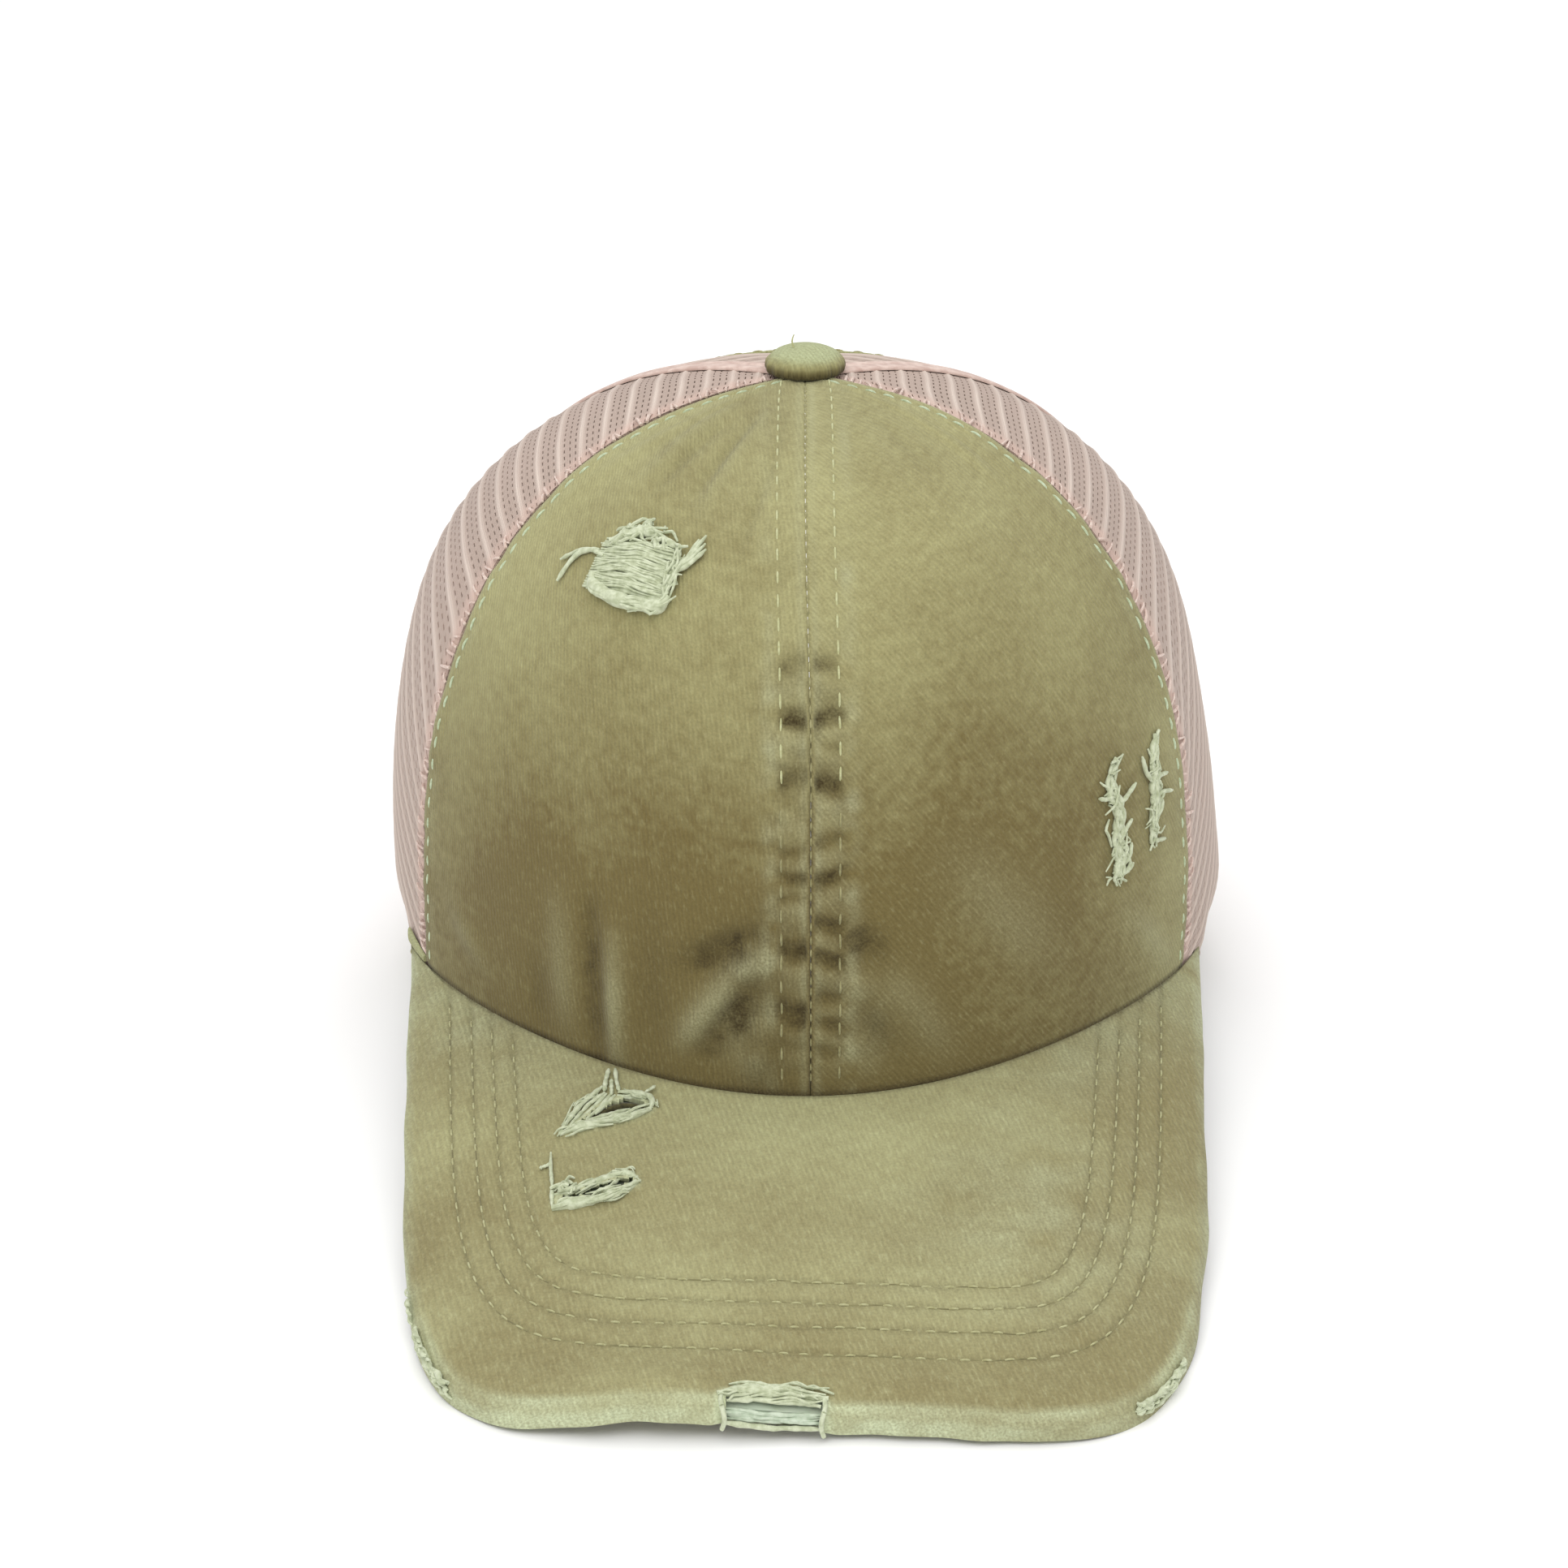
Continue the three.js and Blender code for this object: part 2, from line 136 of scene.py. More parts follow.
# Wrinkles of the front: dents beside the middle seam, by height, half height and depth
LEFT_PUCKERS = [
    (101.3, 1.6, 0.5), (93.4, 1.7, 0.9), (84.0, 2.0, 0.8), (79.6, 1.5, 0.5), (71.8, 1.2, 0.35),
    (67.0, 1.4, 0.7), (62.7, 1.1, 0.5), (53.9, 2.1, 1.2), (41.3, 2.4, 1.1), (35.3, 1.5, 0.5),
]
RIGHT_PUCKERS = [
    (101.3, 1.6, 0.45), (93.4, 1.5, 0.8), (90.0, 1.2, 0.5), (82.5, 1.6, 0.8), (73.6, 1.5, 0.5),
    (67.2, 1.6, 0.75), (57.8, 1.6, 0.9), (51.7, 1.7, 1.1), (43.5, 1.3, 0.5), (38.7, 1.7, 0.7),
    (33.8, 1.6, 0.5),
]
# Soft folds, from one angle and height to another, with half width and how far each swells
FOLDS = [
    ((-26.9, 57.0), (-26.2, 25.5), 2.0, -1.1),
    ((-23.5, 52.0), (-23.5, 23.4), 2.0, 0.9),
    ((-31.5, 57.0), (-30.5, 29.0), 2.8, 0.45),
    ((-35.0, 42.2), (-34.8, 27.8), 2.6, -0.4),
    ((-19.0, 58.1), (-18.5, 30.4), 3.4, -0.35),
    ((-4.2, 51.9), (-8.5, 47.6), 2.6, 1.2),
    ((-8.5, 47.6), (-14.8, 32.8), 2.6, 1.2),
    ((-5.0, 55.9), (-14.5, 48.1), 3.0, -1.5),
    ((-6.5, 43.8), (-9.5, 35.0), 2.8, -1.6),
    ((-9.5, 37.2), (-12.8, 28.5), 2.6, -0.7),
    ((-5.0, 33.1), (-6.5, 26.1), 2.2, 0.7),
    ((4.8, 56.6), (9.0, 50.8), 3.2, -1.3),
    ((4.5, 48.0), (8.0, 42.8), 2.8, 0.6),
    ((6.5, 42.1), (10.5, 30.6), 3.2, -0.6),
    ((10.5, 47.2), (16.8, 30.9), 3.6, 0.45),
    ((-43.2, 130.5), (-52.2, 123.0), 2.2, 0.6),
    ((-8.2, 129.2), (-12.0, 116.1), 1.8, -0.45),
    ((45.5, 130.8), (46.5, 122.2), 2.6, 0.45),
    ((43.2, 47.9), (55.2, 27.6), 3.0, 0.6),
    ((-51.0, 43.0), (-44.2, 35.2), 2.8, 0.5),
    ((18.8, 67.4), (31.0, 44.1), 6.0, 0.4),
]
# Folds that spread from the button, in plan: start, end, half width and swell
TOP_FOLDS = [
    ((-6.7, -22.3), (-19.0, -54.5), 1.7, 0.9),
    ((-10.0, -27.5), (-20.8, -49.7), 1.5, -0.8),
    ((-13.6, -18.6), (-29.2, -40.1), 1.9, 0.8),
    ((-15.1, -26.5), (-27.5, -44.7), 1.5, -0.7),
    ((7.5, -21.1), (17.7, -47.9), 2.2, 0.4),
    ((10.9, -20.4), (23.9, -43.5), 2.0, -0.35),
]


# Arithmetic and noise
def lerp(a, b, share):
    return a + (b - a) * share


def smooth(value, low, high):
    share = np.clip((value - low) / (high - low), 0, 1)
    return share * share * (3 - 2 * share)


def hump(value, half):
    return np.exp(-((value / half) ** 2))


def unit(vectors):
    return vectors / np.maximum(np.linalg.norm(vectors, axis=-1, keepdims=True), 1e-9)


def soft_noise(x, y, seed, octaves=1):
    """Smooth noise from about -1 to 1 with features one unit across, and finer ones for more octaves."""
    cells = 97
    total = np.zeros(np.broadcast(x, y).shape)
    for octave in range(octaves):
        lattice = np.random.default_rng(seed + octave).uniform(-1, 1, (cells, cells))
        across, along = x * 2**octave, y * 2**octave
        i, j = np.floor(across).astype(int), np.floor(along).astype(int)
        s, t = across - i, along - j
        s, t = s * s * (3 - 2 * s), t * t * (3 - 2 * t)
        i, j, i1, j1 = i % cells, j % cells, (i + 1) % cells, (j + 1) % cells
        near = lerp(lattice[i, j], lattice[i1, j], s)
        far = lerp(lattice[i, j1], lattice[i1, j1], s)
        total = total + lerp(near, far, t) / 2**octave
    return total


# The crown's dome
def fullness(angle):
    facing = np.cos(angle)
    end = np.where(facing > 0, FRONT_FULLNESS, BACK_FULLNESS)
    return lerp(SIDE_FULLNESS, end, facing**2)


def spread(angle, height):
    rise = np.clip((height - BELLY_HEIGHT) / (CROWN_HEIGHT - BELLY_HEIGHT), 0, 1)
    power = fullness(angle)
    drop = np.maximum(BELLY_HEIGHT - height, 0) / BELLY_HEIGHT
    tuck = EDGE_TUCK / (CROWN_WIDTH / 2) * drop**2
    return (1 - rise**power) ** (1 / power) * (1 - tuck)


def dome(angle, height):
    angle, height = np.broadcast_arrays(np.asarray(angle, float), np.asarray(height, float))
    wide = spread(angle, height)
    x = CROWN_WIDTH / 2 * wide * np.sin(angle)
    y = TOP_SETBACK * height / CROWN_HEIGHT - CROWN_DEPTH / 2 * wide * np.cos(angle)
    return np.stack([x, y, height], axis=-1)


def dome_normal(angle, height):
    step = 1e-4
    lift = step * (CROWN_HEIGHT - height)
    along = dome(angle + step, height) - dome(angle - step, height)
    up = dome(angle, height + lift) - dome(angle, height - lift)
    normal = np.cross(along, up)
    normal[..., 2] = np.maximum(normal[..., 2], 0)
    return unit(normal)


def side_tuck(angle, height):
    """How far the worn net draws in above its hem, beside the peak."""
    away = np.abs(np.degrees(angle))
    beside = smooth(away, 66, 74) * (1 - smooth(away, 92, 116))
    above = (height - edge_height(angle)) / TUCK_REACH
    return TUCK_DEPTH * beside * np.clip(1 - above, 0, 1) ** 2


def skin(angle, height, depth):
    """Points some depth below the outside of the crown's cloth, or above it where depth is negative."""
    depth = np.asarray(depth, float) + side_tuck(angle, height)
    return dome(angle, height) - dome_normal(angle, height) * depth[..., None]


def girth_per_radian(angle, height):
    ellipse = np.hypot(CROWN_WIDTH / 2 * np.cos(angle), CROWN_DEPTH / 2 * np.sin(angle))
    return ellipse * spread(angle, height)


# The peak's arched surface
HINGE_Y = float(dome(0, HINGE_HEIGHT)[1])
PEAK_ROOT_Y = float(dome(PEAK_ROOT, HINGE_HEIGHT)[1])


def peak_top(x, y):
    sag = PEAK_ARCH * np.abs(x / PEAK_ROOT_HALF) ** ARCH_POWER
    wave = RIM_WAVE * hump(x + 25, 17) * smooth(-y, -HINGE_Y + PEAK_LENGTH - 20, -HINGE_Y + PEAK_LENGTH)
    return HINGE_HEIGHT - sag - math.tan(PEAK_DROOP) * (HINGE_Y - y) + wave


def rim_point(across):
    turn = across * math.pi / 2
    sine, cosine = np.sin(turn), np.cos(turn)
    power = PEAK_SQUARENESS
    reach = (np.abs(sine) ** power + np.abs(cosine) ** power) ** (-1 / power)
    out = reach * cosine
    x = lerp(PEAK_ROOT_HALF, PEAK_FRONT_HALF, out) * reach * sine
    front = HINGE_Y - PEAK_LENGTH - RIM_BULGE * hump(x - 42, 20)
    return np.stack([x, lerp(PEAK_ROOT_Y, front, out)], axis=-1)


def peak_inner(across):
    return skin(across * PEAK_ROOT, np.full(np.shape(across), HINGE_HEIGHT), -CLEARANCE)[..., :2]


def inset_rim(across, inset):
    step = 1e-4
    rim = rim_point(across)
    tangent = unit(rim_point(across + step) - rim_point(across - step))
    room = np.linalg.norm(rim - peak_inner(across), axis=-1)
    inward = np.stack([-tangent[..., 1], tangent[..., 0]], axis=-1)
    return rim + inward * np.minimum(inset, 0.4 * room)[..., None]


def edge_height(angle):
    seated = np.minimum(np.abs(angle), PEAK_ROOT)
    root = dome(seated, np.full(np.shape(seated), HINGE_HEIGHT))
    front = peak_top(root[..., 0], root[..., 1]) - PEAK_THICKNESS
    return front * (1 - smooth(np.abs(angle), PEAK_ROOT, FLAT_EDGE))


def eyelet_height(angle):
    power = fullness(angle)
    rise = (1 - (EYELET_RADIUS / (CROWN_DEPTH / 2)) ** power) ** (1 / power)
    return BELLY_HEIGHT + (CROWN_HEIGHT - BELLY_HEIGHT) * rise


def height_at(angle, share):
    low = edge_height(angle)
    return low + (eyelet_height(angle) - low) * np.sin(share * math.pi / 2) ** RISE_CURVE


def meridian(angle, steps=400):
    """Heights up one meridian from the lower edge, and the length of cloth up to each."""
    heights = height_at(np.full(steps + 1, angle), np.linspace(0, 1, steps + 1))
    points = dome(np.full(steps + 1, angle), heights)
    run = np.concatenate([[0], np.cumsum(np.linalg.norm(np.diff(points, axis=0), axis=1))])
    return heights, run


BACK_HEIGHTS, BACK_RUN = meridian(math.pi)


def opening_half(run):
    """Half the ponytail opening's width at a length of cloth up the back."""
    climbing = np.sin(np.clip(run / OPENING_SHOULDER, 0, 1) * math.pi / 2)
    side = lerp(OPENING_FOOT_HALF, OPENING_HALF, climbing)
    climb = np.clip((run - OPENING_SHOULDER) / (OPENING_REACH - OPENING_SHOULDER), 0, 1)
    return np.where(run < OPENING_SHOULDER, side, OPENING_HALF * np.sqrt(1 - climb**2))


def rear_angle(half, height):
    radius = CROWN_WIDTH / 2 * spread(math.pi, height)
    return math.pi - np.arcsin(np.minimum(half / np.maximum(radius, 1e-6), 1))


# Meshes
def grid_quads(columns, rows):
    i, j = np.meshgrid(np.arange(columns), np.arange(rows), indexing="ij")
    first = (i * (rows + 1) + j).ravel()
    return np.stack([first, first + rows + 1, first + rows + 2, first + 1], axis=1)


def quad_facing(points, quads):
    a, b, c, d = (points[quads[:, k]] for k in range(4))
    return np.cross(c - a, d - b)


def shell(outer, inner, quads):
    """A closed sheet of cloth from its two faces: points, faces, and the grid point each point came from."""
    outer, inner = outer.reshape(-1, 3), inner.reshape(-1, 3)
    count = len(outer)
    facing = quad_facing(outer, quads)
    real = np.linalg.norm(facing, axis=1) > 0.004
    quads, facing = quads[real], facing[real]
    if np.einsum("ij,ij->", facing, (outer - inner)[quads[:, 0]]) < 0:
        quads = quads[:, ::-1]
    edges = np.concatenate([quads[:, [k, (k + 1) % 4]] for k in range(4)])
    key = np.sort(edges, axis=1)
    _, first, used = np.unique(key[:, 0] * count + key[:, 1], return_index=True, return_counts=True)
    free = edges[first[used == 1]]
    walls = np.stack([free[:, 1], free[:, 0], free[:, 0] + count, free[:, 1] + count], axis=1)
    return pack(np.concatenate([outer, inner]), np.concatenate([quads, quads[:, ::-1] + count, walls]), count)


def ring_quads(steps, sides):
    """The faces between rings of points, each ring joined to the next."""
    s, k = np.meshgrid(np.arange(steps - 1), np.arange(sides), indexing="ij")
    k1 = (k + 1) % sides
    near, far = s * sides, (s + 1) * sides
    return np.stack([near + k, near + k1, far + k1, far + k], axis=-1).reshape(-1, 4)


def pack(points, faces, count):
    """Drops the points that no face uses."""
    kept, faces_kept = np.unique(faces, return_inverse=True)
    return points[kept], faces_kept.reshape(faces.shape), kept % count


def tubes(centres, radii, lifts, sides=6):
    """Closed tubes: centres (tubes, points, 3), radii (tubes, points), lifts the direction that is up."""
    amount, steps = centres.shape[:2]
    along = unit(np.gradient(centres, axis=1))
    level = unit(np.cross(along, lifts))
    up = np.cross(level, along)
    turn = np.arange(sides) * 2 * math.pi / sides
    ring = level[:, :, None] * np.cos(turn)[:, None] + up[:, :, None] * np.sin(turn)[:, None]
    points = centres[:, :, None] + ring * radii[:, :, None, None]
    body = ring_quads(steps, sides)
    fans = np.array([[0, k, k + 1, k + 2] for k in range(1, sides - 1, 2)])
    ends = np.concatenate([fans[:, ::-1], fans + (steps - 1) * sides])
    one = np.concatenate([body, ends])
    faces = (one[None] + np.arange(amount)[:, None, None] * steps * sides).reshape(-1, 4)
    points = points.reshape(-1, 3)
    return points, faces, np.arange(len(points))


def join(parts):
    """One mesh from several of (points, faces, source)."""
    points, faces, start = [], [], 0
    for part_points, part_faces, _ in parts:
        points.append(part_points)
        faces.append(part_faces + start)
        start += len(part_points)
    return np.concatenate(points), np.concatenate(faces), np.arange(start)


def make_piece(name, mesh_data, material, replaces=(), cloth=None, marks=None, crease=50):
    """A piece that rides on the cap.
    cloth holds (across, along, 0) for each point of the grid, and marks holds named numbers for it."""
    points, faces, source = mesh_data
    mesh = bpy.data.meshes.new(name)
    mesh.from_pydata(((points + CROWN_CENTRE) * MM).tolist(), [], faces.tolist())
    if cloth is not None:
        layer = mesh.attributes.new("cloth", "FLOAT_VECTOR", "POINT")
        layer.data.foreach_set("vector", cloth.reshape(-1, 3)[source].astype(np.float32).ravel())
    for mark, values in (marks or {}).items():
        layer = mesh.attributes.new(mark, "FLOAT", "POINT")
        layer.data.foreach_set("value", np.asarray(values).ravel()[source].astype(np.float32))
    mesh.materials.append(material)
    mesh.polygons.foreach_set("use_smooth", np.ones(len(mesh.polygons), bool))
    mesh.validate()
    mesh.set_sharp_from_angle(angle=math.radians(crease))
    piece = bpy.data.objects.new(name, mesh)
    bpy.context.scene.collection.objects.link(piece)
    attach(piece, "root")
    if replaces:
        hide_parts(*replaces)
    return piece


def cloth_run(points):
    """Length of cloth along the second axis of a grid of points."""
    lengths = np.linalg.norm(np.diff(points, axis=1), axis=-1)
    return np.concatenate([np.zeros((len(points), 1)), np.cumsum(lengths, axis=1)], axis=1)


# Materials
def new_material(name, roughness, sheen):
    material = bpy.data.materials.new(name)
    material.use_nodes = True
    nodes, links = material.node_tree.nodes, material.node_tree.links
    surface = nodes["Principled BSDF"]
    surface.inputs["Roughness"].default_value = roughness
    surface.inputs["Specular IOR Level"].default_value = 0.2
    surface.inputs["Sheen Weight"].default_value = sheen
    surface.inputs["Sheen Roughness"].default_value = 0.6
    return material, nodes, links, surface


def math_node(nodes, links, kind, first, second, clamp=False):
    node = nodes.new("ShaderNodeMath")
    node.operation = kind
    node.use_clamp = clamp
    for socket, value in zip(node.inputs, (first, second)):
        if isinstance(value, (int, float)):
            socket.default_value = value
        else:
            links.new(value, socket)
    return node.outputs[0]


def mix_colour(nodes, links, factor, first, second, blend="MIX"):
    node = nodes.new("ShaderNodeMix")
    node.data_type = "RGBA"
    node.blend_type = blend
    for socket, value in ((node.inputs[0], factor), (node.inputs[6], first), (node.inputs[7], second)):
        if isinstance(value, (int, float)):
            socket.default_value = value
        elif isinstance(value, tuple):
            socket.default_value = (*value, 1)
        else:
            links.new(value, socket)
    return node.outputs[2]


def colour(code):
    """A colour from its usual six-digit code, as the shader's linear numbers."""
    parts = [int(code[k : k + 2], 16) / 255 for k in (0, 2, 4)]
    return tuple(p / 12.92 if p <= 0.04045 else ((p + 0.055) / 1.055) ** 2.4 for p in parts)


def attribute(nodes, name, socket):
    node = nodes.new("ShaderNodeAttribute")
    node.attribute_name = name
    return node.outputs[socket]


def noise(nodes, links, vector, scale, detail=2.0, stretch=(1, 1, 1), turn=0.0):
    placing = nodes.new("ShaderNodeMapping")
    placing.inputs["Scale"].default_value = stretch
    placing.inputs["Rotation"].default_value = (0, 0, turn)
    links.new(vector, placing.inputs["Vector"])
    node = nodes.new("ShaderNodeTexNoise")
    node.inputs["Scale"].default_value = scale
    node.inputs["Detail"].default_value = detail
    links.new(placing.outputs[0], node.inputs["Vector"])
    return node.outputs["Fac"]


def ramp(nodes, links, value, low, high, to_low=0.0, to_high=1.0):
    node = nodes.new("ShaderNodeMapRange")
    node.inputs["From Min"].default_value = low
    node.inputs["From Max"].default_value = high
    node.inputs["To Min"].default_value = to_low
    node.inputs["To Max"].default_value = to_high
    links.new(value, node.inputs["Value"])
    return node.outputs[0]


def add_bump(nodes, links, surface, height, depth_mm, strength=1.0):
    node = nodes.new("ShaderNodeBump")
    node.inputs["Strength"].default_value = strength
    node.inputs["Distance"].default_value = depth_mm * MM
    links.new(height, node.inputs["Height"])
    links.new(node.outputs[0], surface.inputs["Normal"])


# The darkest olive, for dye in the dents and for painted shade in creases and under the button
DEEP_OLIVE = colour("40361c")


def twill_material(name, pale, brown, rubbed, lean, pitch=0.9):
    """Worn cotton twill: slanting ribs and slubs, washed unevenly, pale where it rubs. The tone mark holds uneven
    dye and, low on the front, painted shade; the deep mark darkens it towards DEEP_OLIVE, for dye in the dents and
    painted shade in creases, stitch channels and under the button.
    """
    material, nodes, links, surface = new_material(name, 0.95, 0.08)
    cloth = attribute(nodes, "cloth", "Vector")
    turned = nodes.new("ShaderNodeMapping")
    turned.inputs["Rotation"].default_value = (0, 0, lean)
    links.new(cloth, turned.inputs["Vector"])
    ribs = nodes.new("ShaderNodeTexWave")
    ribs.inputs["Scale"].default_value = 0.314 / pitch
    ribs.inputs["Distortion"].default_value = 1.2
    ribs.inputs["Detail"].default_value = 2.0
    ribs.inputs["Detail Scale"].default_value = 1.4
    links.new(turned.outputs[0], ribs.inputs["Vector"])
    slubs = noise(nodes, links, turned.outputs[0], 1.0, 3.0, (2.0, 0.55, 1))
    grain = noise(nodes, links, cloth, 2.2, 3.0)
    blotch = noise(nodes, links, cloth, 0.045, 3.0)
    mottle = noise(nodes, links, cloth, 0.42, 4.0)
    tone = attribute(nodes, "tone", "Fac")
    # tone darkens the cloth: uneven dye, and painted shade low on the front
    wash_and_painted_shade = math_node(nodes, links, "ADD", tone, ramp(nodes, links, blotch, 0.3, 0.7, -0.15, 0.15))
    wash_and_painted_shade = math_node(nodes, links, "ADD", wash_and_painted_shade, ramp(nodes, links, mottle, 0.3, 0.7, -0.14, 0.14), True)
    base = mix_colour(nodes, links, wash_and_painted_shade, pale, brown)
    rub = attribute(nodes, "rub", "Fac")
    flecks = math_node(nodes, links, "MULTIPLY", ramp(nodes, links, slubs, 0.55, 0.8), 0.22)
    worn = math_node(nodes, links, "MULTIPLY", rub, ramp(nodes, links, grain, 0.3, 0.6, 0.7, 1.1))
    base = mix_colour(nodes, links, math_node(nodes, links, "ADD", worn, flecks, True), base, rubbed)
    deep = attribute(nodes, "deep", "Fac")
    # deep darkens the cloth: dye in the dents, and painted shade in creases, the peak's stitch channels and under
    # the button
    dye_and_painted_shade = math_node(nodes, links, "MULTIPLY", deep, ramp(nodes, links, grain, 0.3, 0.7, 1.15, 0.75), True)
    base = mix_colour(nodes, links, dye_and_painted_shade, base, DEEP_OLIVE)
    shade = math_node(nodes, links, "MULTIPLY", ramp(nodes, links, ribs.outputs["Fac"], 0, 1, 0.95, 1.03),
                      ramp(nodes, links, slubs, 0.3, 0.7, 0.92, 1.07))
    shade = math_node(nodes, links, "MULTIPLY", shade, ramp(nodes, links, grain, 0.3, 0.7, 0.88, 1.1))
    grey = nodes.new("ShaderNodeCombineColor")
    for socket in grey.inputs[:3]:
        links.new(shade, socket)
    links.new(mix_colour(nodes, links, 1.0, base, grey.outputs[0], "MULTIPLY"), surface.inputs["Base Color"])
    height = math_node(nodes, links, "ADD", ribs.outputs["Fac"], grain)
    add_bump(nodes, links, surface, height, 0.12, 0.6)
    return material


def thread_material(name, low, high, scale=900.0, bump_mm=0.12):
    """Bundled thread: streaky between two colours."""
    material, nodes, links, surface = new_material(name, 0.9, 0.2)
    place = nodes.new("ShaderNodeTexCoord").outputs["Object"]
    streaks = noise(nodes, links, place, scale, 3.0)
    base = mix_colour(nodes, links, ramp(nodes, links, streaks, 0.35, 0.65), low, high)
    links.new(base, surface.inputs["Base Color"])
    add_bump(nodes, links, surface, streaks, bump_mm, 0.6)
    return material


def net_material(name):
    """Polyester net: pale ribs, darker between them and at the holes' rims, partly duller threads and partly
    painted shade, warmer where it is doubled at the seams.
    """
    material, nodes, links, surface = new_material(name, 0.6, 0.1)
    cloth = attribute(nodes, "cloth", "Vector")
    rib = attribute(nodes, "rib", "Fac")
    warm = attribute(nodes, "rub", "Fac")
    drift = noise(nodes, links, cloth, 0.06, 2.0)
    # Dark between the ribs and at the holes' rims: duller threads, and painted shade
    base = mix_colour(nodes, links, rib, colour("a38f83"), colour("d4c4b8"))
    base = mix_colour(nodes, links, ramp(nodes, links, drift, 0.3, 0.7, 0, 0.3), base, colour("b8a297"))
    base = mix_colour(nodes, links, warm, base, colour("cbafa2"))
    links.new(base, surface.inputs["Base Color"])
    threads = nodes.new("ShaderNodeTexWave")
    threads.bands_direction = "Y"
    threads.inputs["Scale"].default_value = 0.314 / 0.4
    threads.inputs["Distortion"].default_value = 0.8
    links.new(cloth, threads.inputs["Vector"])
    add_bump(nodes, links, surface, threads.outputs["Fac"], 0.08, 0.6)
    return material


def board_material(name):
    """The peak's board, furred with pale fibres."""
    material, nodes, links, surface = new_material(name, 0.9, 0.1)
    place = nodes.new("ShaderNodeTexCoord").outputs["Object"]
    fibres = noise(nodes, links, place, 700.0, 3.0, (0.18, 1, 1))
    patches = noise(nodes, links, place, 160.0, 2.0)
    patchy = ramp(nodes, links, patches, 0.35, 0.65)
    base = mix_colour(nodes, links, patchy, colour("b3c2ad"), colour("c9d3c0"))
    base = mix_colour(nodes, links, ramp(nodes, links, fibres, 0.4, 0.7, 0, 0.6), base, colour("a7b597"))
    links.new(base, surface.inputs["Base Color"])
    add_bump(nodes, links, surface, fibres, 0.15, 0.6)
    return material


PALE_OLIVE = colour("9f9b6e")
BROWN_OLIVE = colour("6c6039")
RUBBED = colour("a3a380")
PEAK_TWILL = colour("a4a278"), colour("857d57"), colour("b9c09d")
TRIM_TWILL = colour("a09e70"), colour("837b52"), colour("a5ab84")
twill_left = twill_material("twill_left", PALE_OLIVE, BROWN_OLIVE, RUBBED, math.radians(-6))
twill_right = twill_material("twill_right", PALE_OLIVE, BROWN_OLIVE, RUBBED, math.radians(-38))
twill_peak = twill_material("twill_peak", *PEAK_TWILL, math.radians(-17), 1.1)
twill_trim = twill_material("twill_trim", *TRIM_TWILL, math.radians(-30))
pale_thread = thread_material("pale_thread", colour("a8a878"), colour("bcbd92"), 1500.0, 0.05)
low_thread = thread_material("low_thread", colour("7f7a50"), colour("99946a"), 1500.0, 0.05)
edge_thread = thread_material("edge_thread", colour("a3b08c"), colour("c0ccb0"), 1500.0, 0.05)
# Dark olive for the tubes of painted shade along the peak's stitch rows
groove_shade_thread = thread_material("groove_shade_thread", colour("6a6543"), colour("858058"), 400.0, 0.05)
# Dark olive for the strands of painted shadow in the tears and the rim's notch
dark_thread = thread_material("dark_thread", colour("3c3820"), colour("565132"), 1500.0, 0.05)
olive_thread = thread_material("olive_thread", colour("8a8558"), colour("a6a276"), 1500.0, 0.05)
peak_thread = thread_material("peak_thread", colour("9c996d"), colour("b2b188"), 1500.0, 0.05)
fray_thread = thread_material("fray_thread", colour("a8af8e"), colour("c6ccb0"), 900.0, 0.1)
board_thread = thread_material("board_thread", colour("a9b79f"), colour("c3cdb9"), 900.0, 0.1)
net_thread = thread_material("net_thread", colour("c0a599"), colour("d6c5ba"), 1500.0, 0.05)
net_tape = thread_material("net_tape", colour("bda297"), colour("d4beb3"), 500.0, 0.1)
net_finish = net_material("net_finish")
board_finish = board_material("board_finish")


# Stitches
def resample(points, normals, every):
    """The path's points and normals at even steps of about a length."""
    lengths = np.concatenate([[0], np.cumsum(np.linalg.norm(np.diff(points, axis=0), axis=1))])
    stops = np.linspace(0, lengths[-1], max(int(lengths[-1] / every), 1) + 1)
    place = np.stack([np.interp(stops, lengths, points[:, k]) for k in range(3)], axis=1)
    facing = np.stack([np.interp(stops, lengths, normals[:, k]) for k in range(3)], axis=1)
    return place, unit(facing), stops


def stitch_row(points, normals, length=2.9, gap=1.5, radius=0.26, seed=1):
    """Stitches along a path on the cloth, each one's ends sunk into it."""
    fine = 0.25
    place, facing, stops = resample(points, normals, fine)
    rng = np.random.default_rng(seed)
    starts = np.arange(gap / 2, stops[-1] - length, length + gap)
    starts = starts + rng.uniform(-0.25, 0.25, len(starts))
    share = np.linspace(0, 1, 6)
    where = starts[:, None] + share[None] * length
    centre = np.stack([np.interp(where, stops, place[:, k]) for k in range(3)], axis=-1)
    lift = np.stack([np.interp(where, stops, facing[:, k]) for k in range(3)], axis=-1)
    arch = np.sin(share * math.pi) ** 0.5
    centre = centre + lift * ((arch * 1.5 - 0.85) * radius)[None, :, None]
    thick = np.broadcast_to(radius * (0.55 + 0.45 * arch), where.shape)
    return tubes(centre, thick, lift, 6)


# Front panels
def segment_distance(x, y, start, end):
    """Distance from a line between two points, and the share of the way along it."""
    ax, ay = end[0] - start[0], end[1] - start[1]
    share = np.clip(((x - start[0]) * ax + (y - start[1]) * ay) / (ax * ax + ay * ay), 0, 1)
    return np.hypot(x - start[0] - share * ax, y - start[1] - share * ay), share


